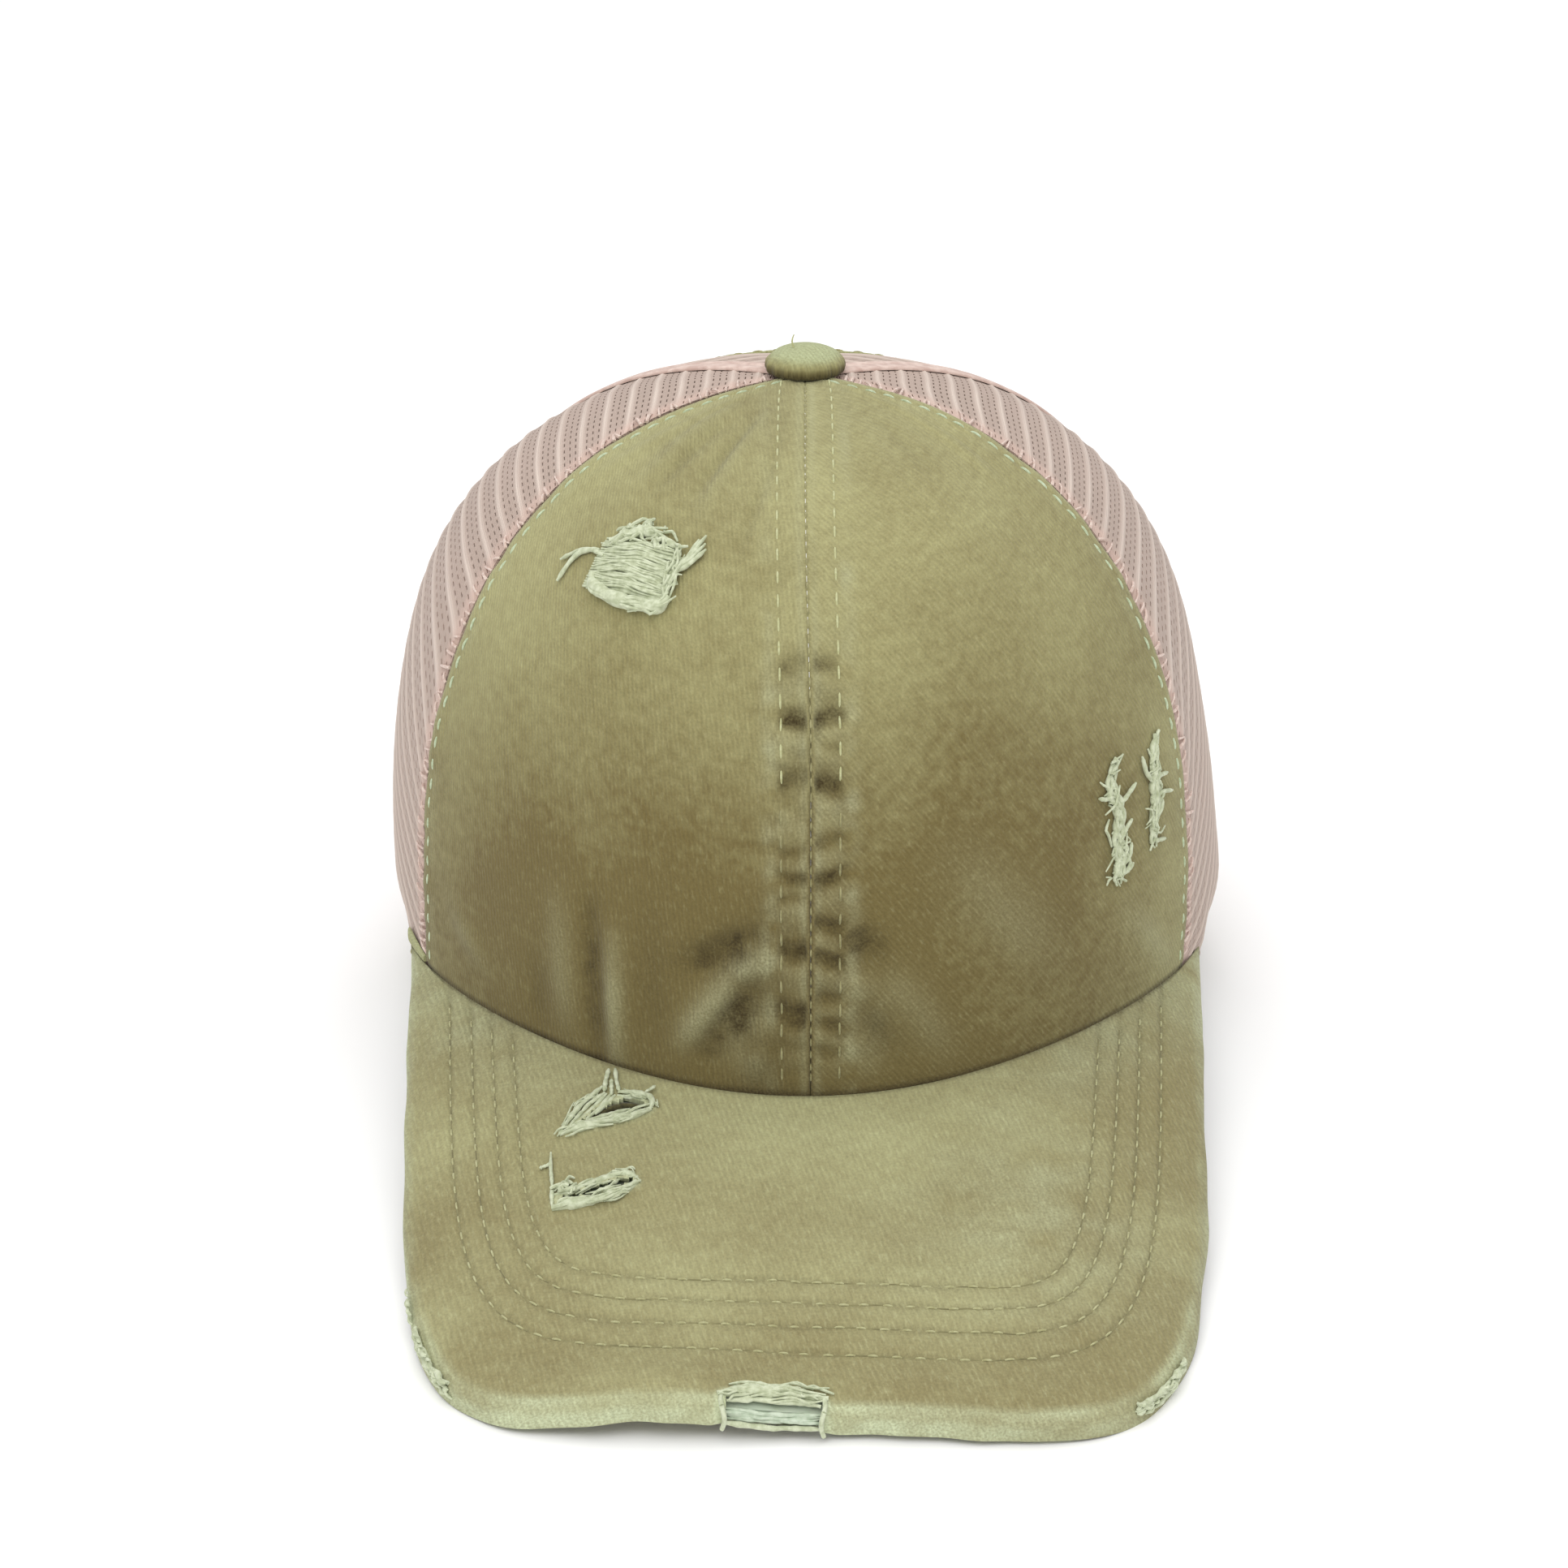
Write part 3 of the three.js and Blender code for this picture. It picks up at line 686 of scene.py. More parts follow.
def soft_fold(x, y, start, end, half, swell):
    """How far one fold stands out, less and less towards its ends."""
    away, share = segment_distance(x, y, start, end)
    return swell * hump(away, half) * np.sin(np.clip(share * 0.8 + 0.1, 0, 1) * math.pi)


SEAM_FOLD = 5.2  # how far the turned-in cloth reaches each side of the middle seam
SEAM_SHIFT = 1.0  # how far the middle seam was sewn to the right, lower down
EDGE_FOLD = 2.7  # how far the topstitch runs from the net


def middle_angle(height, away):
    """The angle of the line that lies some way beside the middle seam."""
    aside = SEAM_SHIFT * (1 - smooth(height, 85, 130)) + away
    return np.arcsin(np.clip(aside / (CROWN_WIDTH / 2 * spread(0.0, height)), -0.9, 0.9))


def front_relief(angle, height):
    """How far the front's wrinkles and seams stand out, where it is rubbed, and where it is darkened: in the dents
    and fold hollows by dye together with painted shade, along the seam line, in patches low down, and by painted
    shade in the crease above the peak.
    """
    points = dome(angle, height)
    aside = points[..., 0] - SEAM_SHIFT * (1 - smooth(height, 85, 130))
    from_middle = np.abs(aside)
    right = aside > 0
    from_net = (FRONT_SEAM - np.abs(angle)) * girth_per_radian(angle, height)
    relief = 0.4 * (1 - smooth(from_middle, SEAM_FOLD - 0.2, SEAM_FOLD + 1.2))
    relief -= (0.5 - 0.35 * smooth(height, 70, 120)) * hump(from_middle, 0.3)
    relief -= 0.3 * hump(from_middle - SEAM_FOLD, 0.5)
    lively = smooth(height, 24, 40) * (1 - 0.75 * smooth(height, 92, 112))
    relief += 0.6 * lively * (1 - smooth(from_middle, 4, 13))
    frayed = 0.6 * soft_noise(height * 0.5 + right * 20, from_middle * 0.3, 13, 2)
    window = smooth(from_middle, 0.3, 1.2) * (1 - smooth(from_middle + frayed, 4.4, 7.0))
    dents = np.zeros_like(relief)
    for puckers, side in ((LEFT_PUCKERS, ~right), (RIGHT_PUCKERS, right)):
        for middle, half, depth in puckers:
            bend = middle + 0.7 * np.sin(from_middle * 0.5 + middle) - 0.05 * from_middle
            shape = hump(height - bend, half) - 0.35 * hump(height - bend + 2.3 * half, half)
            dents += side * window * depth * shape
    relief -= 1.25 * dents
    ripple = soft_noise(height * 0.42 + right * 40, from_middle * 0.12, 11)
    relief += 0.35 * lively * ripple * (1 - smooth(from_middle, 7, 16)) * smooth(from_middle, 0.5, 2)
    reach = girth_per_radian(0.0, 60.0)
    hollows = np.zeros_like(relief)
    ridges = np.zeros_like(relief)
    folds = []
    for start, end, half, swell in FOLDS:
        first = (math.radians(start[0]) * reach, start[1])
        last = (math.radians(end[0]) * reach, end[1])
        folds.append((1.2, soft_fold(angle * reach, height, first, last, half, swell)))
    for fold in TOP_FOLDS:
        folds.append((1.0, soft_fold(points[..., 0], points[..., 1], *fold)))
    for raised, fold in folds:
        relief += raised * fold
        hollows += np.maximum(-fold, 0)
        ridges += np.maximum(fold, 0)
    relief += 0.7 * hump(height - 42, 20) * hump(points[..., 0], 60)
    relief += 0.34 * soft_noise(points[..., 0] * 0.045 + 9, height * 0.04, 21)
    relief += 0.16 * soft_noise(points[..., 0] * 0.14 + 5, height * 0.11, 31) * (1 - smooth(height, 100, 120))
    crown = smooth(height, 100, 126)
    gathers = np.cos(angle * 11 + 0.8) * smooth(from_middle, 7, 14) * (1 - smooth(from_net, 14, 3))
    relief += 0.35 * crown * gathers
    doubled = 1 - smooth(from_net, EDGE_FOLD + 0.6, EDGE_FOLD + 2.2)
    tug = soft_noise(height * 0.3 + right * 50, from_net * 0.1, 41)
    relief += doubled * (0.3 + 0.22 * tug)
    relief -= 0.35 * hump(from_net - EDGE_FOLD, 0.5) + 0.5 * hump(from_net, 0.5)
    relief *= smooth(height, edge_height(angle), edge_height(angle) + 6) * 0.9 + 0.1
    relief = np.where(height < BAND_HEIGHT + 22, np.maximum(relief, -0.25), relief)
    crease = height - edge_height(angle) - PEAK_THICKNESS
    relief = np.minimum(relief, 0.2 + 3 * smooth(crease, 0, 7))
    patchy = 0.5 + 0.5 * soft_noise(height * 0.13 + right * 30, from_middle * 0.2, 51, 3)
    faded = 0.35 + 0.65 * patchy
    blotchy = 0.5 + 0.5 * soft_noise(height * 0.35 + right * 30, from_middle * 0.3, 53, 2)
    rub = 0.75 * hump(from_middle - SEAM_FOLD - 2.0, 1.5) * faded * blotchy * (0.5 + 0.5 * lively)
    rub = rub + 0.6 * window * lively * faded * np.clip(0.35 - dents, 0, 1)
    rub = rub + 0.3 * hump(from_middle - 1.2, 0.8) * faded
    rub = rub + 0.6 * ridges * (0.5 + 0.5 * faded) * (1 - 0.6 * crown)
    rub = rub + 0.45 * hump(from_net - 0.8, 1.2) + 0.28 * hump(from_net - 4.4, 1.2) * patchy
    foot = smooth(height, 24, 34) * (1 - smooth(height, 36, 52))
    rub = rub + 0.35 * foot * hump(from_middle - 11, 5) * patchy
    uneven = 0.75 + 0.35 * soft_noise(height * 0.7 + right * 33, from_middle * 0.6, 15, 2)
    # Dents and fold hollows darkened: dye left by washing, and painted shade
    deep = 1.05 * np.clip(dents, 0, 0.85) * uneven + 0.75 * hollows * uneven * (1 - 0.6 * crown)
    deep = deep + (0.25 - 0.2 * crown) * hump(from_middle, 0.4)
    deep = deep + 0.4 * lively * np.clip(-ripple, 0, 1) * window
    # Painted shade in the crease where the crown meets the peak, and just above it in the middle
    deep = deep + 0.9 * (1 - smooth(crease, 0.1, 0.8))
    deep = deep + 0.2 * (1 - smooth(crease, 0.5, 5)) * hump(points[..., 0], 40)
    deep = deep + 0.25 * (from_net < EDGE_FOLD) * (1 - smooth(height, 20, 60))
    deep = deep + 0.24 * ~right * hump(from_middle - 9, 7) * (1 - smooth(height, 46, 66)) * (1.2 - patchy)
    return relief, np.clip(rub, 0, 1), np.clip(deep, 0, 1)


def front_tone(angle, height):
    """0 where the cloth is pale, at the top and the sides, to 1 low in the middle: uneven dye from washing, and
    painted shade where less light falls on the lower front.
    """
    # Darker lower down: partly dye, partly painted shade from the light above
    low = 1 - smooth(height, 44, 128)
    across = np.degrees(angle)
    left_side = 0.3 * smooth(-across, 32, 57)
    right_side = 0.55 * smooth(across, 34, 57) * (1 - smooth(height, 70, 105))
    right_low = 0.2 * smooth(across, 9, 24) * (1 - smooth(height, 45, 75))
    right_middle = 0.12 * smooth(across, 4, 20) * smooth(height, 50, 80)
    middle = 0.42 * hump(dome(angle, height)[..., 0] + 4, 26) * (1 - smooth(height, 30, 80))
    top_left = 0.2 * smooth(-across, -2, 12) * smooth(height, 100, 118)
    dark = 0.14 + top_left + 0.98 * low + right_middle + middle
    return np.clip(dark - left_side - right_side - right_low, 0, 1.3)


def front_panel(side, label, material):
    columns, rows = 118, 200
    share = np.linspace(0, 1, columns + 1) ** 1.25
    climb = np.linspace(0, 1, rows + 1)
    share, climb = np.meshgrid(share, climb, indexing="ij")
    middle_height = height_at(0.0, climb)
    gap = 0.04 / girth_per_radian(0.0, middle_height)
    angle = lerp(middle_angle(middle_height, 0) + side * gap, side * (FRONT_SEAM - gap), share)
    height = height_at(angle, climb)
    relief, rub, deep = front_relief(angle, height)
    plain = dome(angle, height)
    outer = skin(angle, height, -relief)
    inner = skin(angle, height, TWILL_WALL - relief)
    cloth = np.stack([angle * girth_per_radian(angle, height), cloth_run(plain), 0 * angle], axis=-1)
    marks = {"tone": front_tone(angle, height), "rub": rub, "deep": deep}
    mesh = shell(outer, inner, grid_quads(columns, rows))
    make_piece(f"front_twill_{label}", mesh, material, [f"front_panel_{label}"], cloth, marks)


def front_path(line, steps=500):
    """A path up the front with its normals, where line gives the angle at each height."""
    climb = np.linspace(0.02, 0.985, steps)
    height = height_at(np.zeros(steps) + 0.5, climb)
    angle = line(height)
    keep = height > edge_height(angle) + PEAK_THICKNESS + 1
    angle, height = angle[keep], height[keep]
    relief, _, _ = front_relief(angle, height)
    return skin(angle, height, -relief), dome_normal(angle, height)


def front_stitches():
    for part, finish, low, high in (("high", pale_thread, 82, 140), ("low", low_thread, 0, 82)):
        rows = []
        for side in (-1, 1):
            place, facing = front_path(lambda h: middle_angle(h, side * SEAM_FOLD))
            here = (place[:, 2] > low) & (place[:, 2] <= high)
            rows.append(stitch_row(place[here], facing[here], 2.9, 1.8, 0.22, 3 + side))
        make_piece(f"middle_topstitches_{part}", join(rows), finish)
    seam = stitch_row(*front_path(lambda h: middle_angle(h, 0.05)), 1.7, 0.9, 0.2, 9)
    make_piece("middle_seam_stitches", join([seam]), low_thread)
    edges = []
    for side in (-1, 1):
        path = front_path(lambda h: side * (FRONT_SEAM - EDGE_FOLD / girth_per_radian(FRONT_SEAM, h)))
        edges.append(stitch_row(*path, 3.0, 1.1, 0.28, 7 + side))
    make_piece("front_edge_stitches", join(edges), edge_thread)


# Net panels
NET_BAR = 2.6  # between the crosspieces, along the ribs
NET_LINES = [0.6, 0.6, 1.3, 1.3, 1.3]  # both halves of a pale rib, then the open rows up to the next
NET_THICKNESS = 0.7
HOLE_LONG, HOLE_HIGH = 0.5, 0.2  # shares of a cell that are open


def net_panel(name, node, side, centre, low_angle, high_angle, warm_at, tilt):
    """A panel of net with a hole in each cell. Its ribs run from front to back and rise by the tilt behind.
    low_angle and high_angle give the panel's two edges at each height."""
    heights, run = meridian(centre)
    if heights[0] > 0.5:
        lower = np.linspace(0, heights[0], 24)
        fall = np.linalg.norm(np.diff(dome(np.full(24, centre), lower), axis=0), axis=1)
        heights, run = np.append(lower[:-1], heights), np.append(-np.cumsum(fall[::-1])[::-1], run)
    radius = girth_per_radian(centre, heights)
    inward = -np.gradient(CROWN_WIDTH / 2 * spread(centre, heights)) / np.gradient(run)
    slope = math.tan(tilt) * (1 - smooth(run, 45, 105))
    reach = np.max(np.maximum(high_angle(heights) - centre, centre - low_angle(heights)) * radius)

    def level(u):
        """The rib line through each height of the panel, at a distance beside its middle."""
        swing = np.clip(u / np.maximum(radius, 1e-6), -1.45, 1.45)
        lines = run + radius * (1 - np.cos(swing)) * inward - slope * u
        return np.maximum.accumulate(lines) + np.arange(len(lines)) * 1e-5

    def place(u, v):
        height = np.zeros(len(u))
        columns, members = np.unique(np.round(u, 4), return_inverse=True)
        for number, column in enumerate(columns):
            mine = members == number
            height[mine] = np.interp(v[mine], level(column), heights)
        angle = centre + u / np.maximum(np.interp(height, heights, radius), 1e-6)
        clamped = np.clip(angle, low_angle(height), high_angle(height))
        floor = edge_height(clamped) + HEM_LIFT
        ends = (height <= heights[0] + 1e-3) | (height >= heights[-1] - 1e-3) | (height < floor)
        return clamped, np.maximum(height, floor), (np.abs(clamped - angle) > 1e-7) | ends

    half = int(reach / NET_BAR) + 1
    first, last = level(reach)[0], max(level(-reach)[-1], level(0.0)[-1], level(reach)[-1])
    first = min(first, level(-reach)[0], level(0.0)[0])
    repeats = int((last - first) / sum(NET_LINES)) + 1
    stops = first + np.concatenate([[0], np.cumsum(NET_LINES * repeats)])
    u_lines = np.arange(-half, half + 1) * NET_BAR
    columns, rows = len(u_lines) - 1, len(stops) - 1
    u, v = (grid.ravel() for grid in np.meshgrid(u_lines, stops, indexing="ij"))
    quads = grid_quads(columns, rows)
    row = np.tile(np.arange(rows), columns) % len(NET_LINES)
    _, _, cut = place(u, v)
    holed = (~cut[quads]).all(axis=1) & (row > 1)
    corner_u, corner_v = u[quads[holed]], v[quads[holed]]
    middle_u, middle_v = corner_u.mean(1, keepdims=True), corner_v.mean(1, keepdims=True)
    hole_u = (middle_u + (corner_u - middle_u) * HOLE_LONG).ravel()
    hole_v = (middle_v + (corner_v - middle_v) * HOLE_HIGH).ravel()
    hole = len(u) + np.arange(len(hole_u)).reshape(-1, 4)
    around = quads[holed]
    sides = [(0, 1), (1, 2), (2, 3), (3, 0)]
    rims = [np.stack([around[:, k], around[:, j], hole[:, j], hole[:, k]], axis=1) for k, j in sides]
    every_u, every_v = np.concatenate([u, hole_u]), np.concatenate([v, hole_v])

    angle, height, _ = place(every_u, every_v)
    line = np.tile(np.arange(rows + 1), columns + 1) % len(NET_LINES)
    # Rib share: highest on the pale ribs, lower between them, lowest at the holes' rims, where it paints shade
    # along with the duller threads
    ribs = np.where(line == 1, 1.0, np.where((line == 0) | (line == 2), 0.4, 0.15))
    rib = np.concatenate([ribs, np.full(len(hole_u), 0.1)])
    swell = 0.3 * soft_noise(every_u * 0.05, every_v * 0.03, 61) * smooth(height, 20, 40)
    beside = hump(np.degrees(angle) - 84, 24)
    if side < 0:
        swell = swell + 2.0 * beside * hump(height - 102, 24)
    else:
        swell = swell + beside * (1.4 * hump(height - 24, 12) - 1.9 * hump(height - 68, 24))
    from_low = (angle - low_angle(height)) * girth_per_radian(angle, height)
    from_high = (high_angle(height) - angle) * girth_per_radian(angle, height)
    swell = swell * smooth(np.minimum(from_low, from_high), 0.5, 14)
    depth = 0.3 - 0.34 * rib - swell
    outer = skin(side * angle, height, depth)
    inner = skin(side * angle, height, depth + NET_THICKNESS)
    cloth = np.stack([every_u, every_v, 0 * angle], axis=-1)
    from_seam = np.abs(angle - warm_at) * girth_per_radian(angle, height)
    marks = {"rib": rib, "rub": 0.7 * (1 - smooth(from_seam, 2.5, 5.5))}
    mesh = shell(outer, inner, np.concatenate([quads[~holed]] + rims))
    make_piece(name, mesh, net_finish, [node], cloth, marks, 70)


def side_net(side, label):
    edge = 0.15
    low = lambda h: FRONT_SEAM + edge / girth_per_radian(FRONT_SEAM, h)
    high = lambda h: REAR_SEAM - edge / girth_per_radian(REAR_SEAM, h)
    middle, tilt = (FRONT_SEAM + REAR_SEAM) / 2, math.radians(30)
    net_panel(f"side_net_{label}", f"side_mesh_{label}", side, middle, low, high, FRONT_SEAM, tilt)


def rear_net(side, label):
    edge = 0.15
    low = lambda h: REAR_SEAM + edge / girth_per_radian(REAR_SEAM, h)

    def high(height):
        half = opening_half(np.interp(height, BACK_HEIGHTS, BACK_RUN))
        return np.minimum(rear_angle(half, height), math.pi - edge / girth_per_radian(math.pi, height))

    middle, tilt = math.radians(148), math.radians(10)
    net_panel(f"rear_net_{label}", f"rear_mesh_{label}", side, middle, low, high, REAR_SEAM, tilt)


def net_seams():
    """Loops of the net's thread where it is sewn to the front."""
    loops = []
    rng = np.random.default_rng(71)
    for side in (-1, 1):
        heights, run = meridian(FRONT_SEAM)
        stops = np.arange(5, run[-1] - 3, 2.3)
        stops = stops + rng.uniform(-0.8, 0.8, len(stops))
        share = np.linspace(0, 1, 7)
        tilt = rng.uniform(-1.2, 2.2, len(stops))
        length = rng.uniform(1.6, 4.4, len(stops))
        along = stops[:, None] + tilt[:, None] * share
        height = np.interp(along, run, heights)
        away = -0.35 + length[:, None] * share
        angle = FRONT_SEAM + away / girth_per_radian(FRONT_SEAM, height)
        raised = 0.1 + 0.35 * np.sin(share * math.pi)
        centre = skin(side * angle, height, -np.broadcast_to(raised, angle.shape))
        thick = rng.uniform(0.2, 0.4, len(stops))[:, None] * (1 - 0.35 * share)
        above = edge_height(angle[:, 0]) + PEAK_THICKNESS + 1 < height[:, 0]
        loops.append(tubes(centre[above], thick[above], dome_normal(side * angle, height)[above], 6))
    make_piece("net_seam_loops", join(loops), net_thread)


def net_seam_tapes():
    """Tapes over the seams between the nets."""
    parts = [raised_tape(side * REAR_SEAM, 0.5) for side in (-1, 1)]
    parts.append(raised_tape(math.pi, OPENING_REACH + BINDING_WIDTH - 1))
    make_piece("net_seam_tapes", join(parts), net_tape)


def raised_tape(angle, from_run):
    """A narrow raised strip up one seam of the net."""
    heights, run = meridian(abs(angle))
    stops = np.linspace(max(from_run, HEM_HEIGHT - 1), run[-1], 120)
    height = np.interp(stops, run, heights)
    profile = [
        (-3.0, 0.0), (-2.8, -0.35), (-2.2, -0.5), (-0.4, -0.5), (0, -0.3), (0.4, -0.5), (2.2, -0.5),
        (2.8, -0.35), (3.0, 0),
    ]
    aside = np.array([p[0] for p in profile])
    depth = np.array([p[1] for p in profile])
    around = girth_per_radian(angle, height)
    angles = angle + aside[:, None] / around[None]
    outer = skin(angles, height[None] + 0 * angles, depth[:, None] - 0.12 + 0 * angles)
    inner = skin(angles, height[None] + 0 * angles, 0.05 + 0 * angles)
    return shell(outer, inner, grid_quads(len(profile) - 1, len(stops) - 1))


# Trim made by running a section along a path
def swept(stations, section_points):
    """A closed solid: section_points(station) gives a ring of points, joined to the next one's, with ends."""
    rings = section_points(stations)
    count, sides = rings.shape[:2]
    points = rings.reshape(-1, 3)
    body = ring_quads(count, sides)
    half = sides // 2
    ladder = np.array([[k, k + 1, sides - 2 - k, sides - 1 - k] for k in range(half - 1)])
    ends = np.concatenate([ladder, ladder[:, ::-1] + (count - 1) * sides])
    faces = np.concatenate([body, ends])
    centre = rings.mean(axis=1).repeat(sides, axis=0)
    facing = quad_facing(points, body)
    if np.einsum("ij,ij->", facing, (points - centre)[body[:, 0]]) < 0:
        faces = faces[:, ::-1]
    return points, faces, np.arange(len(points))


def edge_marks(rings, aside, wear, seed):
    """Cloth places and wear for a swept trim: aside is each section point's place across it."""
    count, sides = rings.shape[:2]
    lengths = np.linalg.norm(np.diff(rings[:, 0], axis=0), axis=1)
    run = np.concatenate([[0], np.cumsum(lengths)])
    cloth = np.zeros((count, sides, 3))
    cloth[..., 0] = run[:, None]
    cloth[..., 1] = aside[None]
    patchy = 0.5 + 0.5 * soft_noise(cloth[..., 0] * 0.12, cloth[..., 1] * 0.3, seed, 2)
    return cloth, {"tone": 0.35 + 0 * patchy, "rub": wear[None] * patchy, "deep": 0 * patchy}


def opening_path(stations, beyond):
    """Angle and height round the ponytail opening from its left foot over the top, moved out by beyond."""
    stations = np.abs(stations)
    last_share = 0.55  # the share of the path taken by the straight side
    straight = stations >= 1 - last_share
    swing = np.clip(1 - stations / (1 - last_share), 0, 1) * math.pi / 2
    climb = np.clip((1 - stations) / last_share, 0, 1) * OPENING_SHOULDER
    half = np.where(straight, opening_half(climb) + beyond, (OPENING_HALF + beyond) * np.cos(swing))
    rise = (OPENING_REACH - OPENING_SHOULDER + beyond) * np.sin(swing)
    run = np.where(straight, climb, OPENING_SHOULDER + rise)
    height = np.interp(run, BACK_RUN, BACK_HEIGHTS)
    return rear_angle(half, height), height


def trim_binding():
    """The channel of twill that wraps the net's edge all round the opening."""
    loop = [
        (8.0, -0.3), (8.1, -0.9), (7.7, -1.3), (6.6, -1.45), (5.8, -1.25), (4, -1.4), (1, -1.45), (-0.6, -1.3),
        (-1.25, -0.8), (-1.4, 0.2), (-1.35, 1.4), (-1.1, 2.2), (-0.4, 2.5), (3, 2.5), (7.6, 2.5), (8.0, 2.2),
        (8.0, 1.7), (7.6, 1.5), (3, 1.5), (0.2, 1.5), (-0.2, 1.2), (-0.3, 0.6), (-0.2, -0.1), (0.3, -0.3),
        (3, -0.3), (7.0, -0.3),
    ]
    beyond = np.array([p[0] for p in loop])
    depth = np.array([p[1] for p in loop])
    stations = np.linspace(-1, 1, 261)

    def rings(at):
        beyonds = np.broadcast_to(beyond, (len(at), len(loop)))
        where = np.broadcast_to(at[:, None], beyonds.shape)
        angle, height = opening_path(where, beyonds)
        waves = soft_noise(where * 70, beyonds * 0.2, 81) * 0.18 * (depth < -0.8)
        return skin(np.where(where < 0, -angle, angle), height, depth - waves)

    made = rings(stations)
    cloth, marks = edge_marks(made, beyond, np.where(np.abs(beyond) > 6.5, 0.5, 0.2), 83)
    mesh = swept(stations, rings)
    make_piece("opening_binding", mesh, twill_trim, ["ponytail_binding"], cloth, marks, 60)
    rows = []
    for offset in (1.2, 6.2):
        angle, height = opening_path(stations, offset)
        signed = np.where(stations < 0, -angle, angle)
        for face, sign, seed in ((-1.4, 1, 85), (2.5, -1, 87)):
            place = skin(signed, height, np.full(len(height), face))
            rows.append(stitch_row(place, sign * dome_normal(signed, height), seed=seed))
    make_piece("binding_stitches", join(rows), olive_thread)


def hem_thickness(angle):
    """The share of its full thickness that the hem has, less beside the peak."""
    return lerp(0.25, 1.0, smooth(np.degrees(angle), 92, 108))


def trim_hem(side, label):
    """The narrow folded strip round the net's lower edge."""
    start = PEAK_ROOT + 0.006
    loop = [
        (-0.3, 2.9), (-0.6, 3.0), (-0.95, 2.75), (-1.05, 2.2), (-1.05, 1.2), (-0.85, 0.3), (-0.4, 0.0), (0.6, 0.0),
        (1.8, 0.0), (2.4, 0.1), (2.5, 0.6), (2.3, 1.0), (0.6, 1.0), (0.0, 1.05), (-0.3, 1.3), (-0.3, 2.6),
    ]
    depth = np.array([p[0] for p in loop])
    up = np.array([p[1] for p in loop])
    stations = np.linspace(0, 1, 150)

    def rings(at):
        angle = np.broadcast_to(lerp(start, hem_end_angle(), at)[:, None], (len(at), len(loop)))
        waves = soft_noise(at[:, None] * 60, up[None] * 0.2, 91) * 0.15 * (depth < -0.8)
        flat = hem_thickness(angle)
        drawn = np.where(depth < 0, depth - waves, depth / flat) * flat
        return skin(side * angle, edge_height(angle) + up, drawn)

    made = rings(stations)
    cloth, marks = edge_marks(made, up, np.where((up > 3) | (up < 0.5), 0.6, 0.15), 93)
    mesh = swept(stations, rings)
    make_piece(f"hem_twill_{label}", mesh, twill_trim, [f"hem_{label}"], cloth, marks, 60)
    angle = lerp(start, hem_end_angle(), stations)
    height = edge_height(angle) + 1.6
    place = skin(side * angle, height, -1.02 * hem_thickness(angle))
    return [stitch_row(place, dome_normal(side * angle, height), seed=95)]


def hem_front():
    """The little wedge of hem that shows on the left between the net and the peak."""
    columns, rows = 16, 8
    share, up = np.meshgrid(np.linspace(0, 1, columns + 1), np.linspace(0, 1, rows + 1), indexing="ij")
    angle = -lerp(FRONT_SEAM + 0.004, PEAK_ROOT + 0.004, share)
    height = edge_height(angle) + PEAK_THICKNESS + 0.4 + up * lerp(1.4, 3.4, share)
    swell = 0.45 + 0.3 * np.sin(up * math.pi) ** 0.4 + 0.1 * soft_noise(share * 6, up * 3, 97)
    outer = skin(angle, height, -swell)
    inner = skin(angle, height, np.full(angle.shape, -0.12))
    cloth = np.stack([share * 10, up * 6, 0 * up], axis=-1)
    marks = {"tone": 0.05 + 0 * up, "rub": 0.25 + 0.35 * hump(up - 1, 0.25)}
    mesh = shell(outer, inner, grid_quads(columns, rows))
    make_piece("hem_front", mesh, twill_trim, (), cloth, marks)


def hem_end_angle():
    half = float(opening_half(HEM_HEIGHT)) + BINDING_WIDTH + CLEARANCE
    return float(rear_angle(half, 0.0))


def sweatband():
    columns, rows = 260, 14
    share, up = np.meshgrid(np.linspace(-1, 1, columns + 1), np.linspace(0, 1, rows + 1), indexing="ij")
    angle = share * hem_end_angle()
    top_share = 2 / math.pi * math.asin((BAND_HEIGHT / CROWN_HEIGHT) ** (1 / RISE_CURVE))
    height = np.maximum(height_at(angle, up * top_share), edge_height(angle) + HEM_LIFT)
    wave = 0.12 * soft_noise(share * 60, up * 2, 101) * smooth(up, 0, 0.2)
    pinch = 0.3 * hump(up - 0.93, 0.04) + 0.3 * hump(up - 0.06, 0.04)
    thickness = np.full(angle.shape, 1.0) - pinch + 0.3 * hump(up - 0.5, 0.3) + wave
    outer = skin(angle, height, np.full(angle.shape, INSIDE_NET))
    inner = skin(angle, height, INSIDE_NET + thickness)
    cloth = np.stack([angle * 90, cloth_run(outer), 0 * up], axis=-1)
    marks = {"tone": 0.3 + 0 * up, "rub": 0.3 * hump(up - 1, 0.06)}
    mesh = shell(outer, inner, grid_quads(columns, rows))
    make_piece("sweatband_twill", mesh, twill_trim, ["sweatband"], cloth, marks)
    rows_made = []
    for at in (rows - 1, 1):
        normals = -dome_normal(angle[:, at], height[:, at])
        rows_made.append(stitch_row(inner[:, at], normals, seed=103 + at))
    make_piece("sweatband_stitches", join(rows_made), olive_thread)


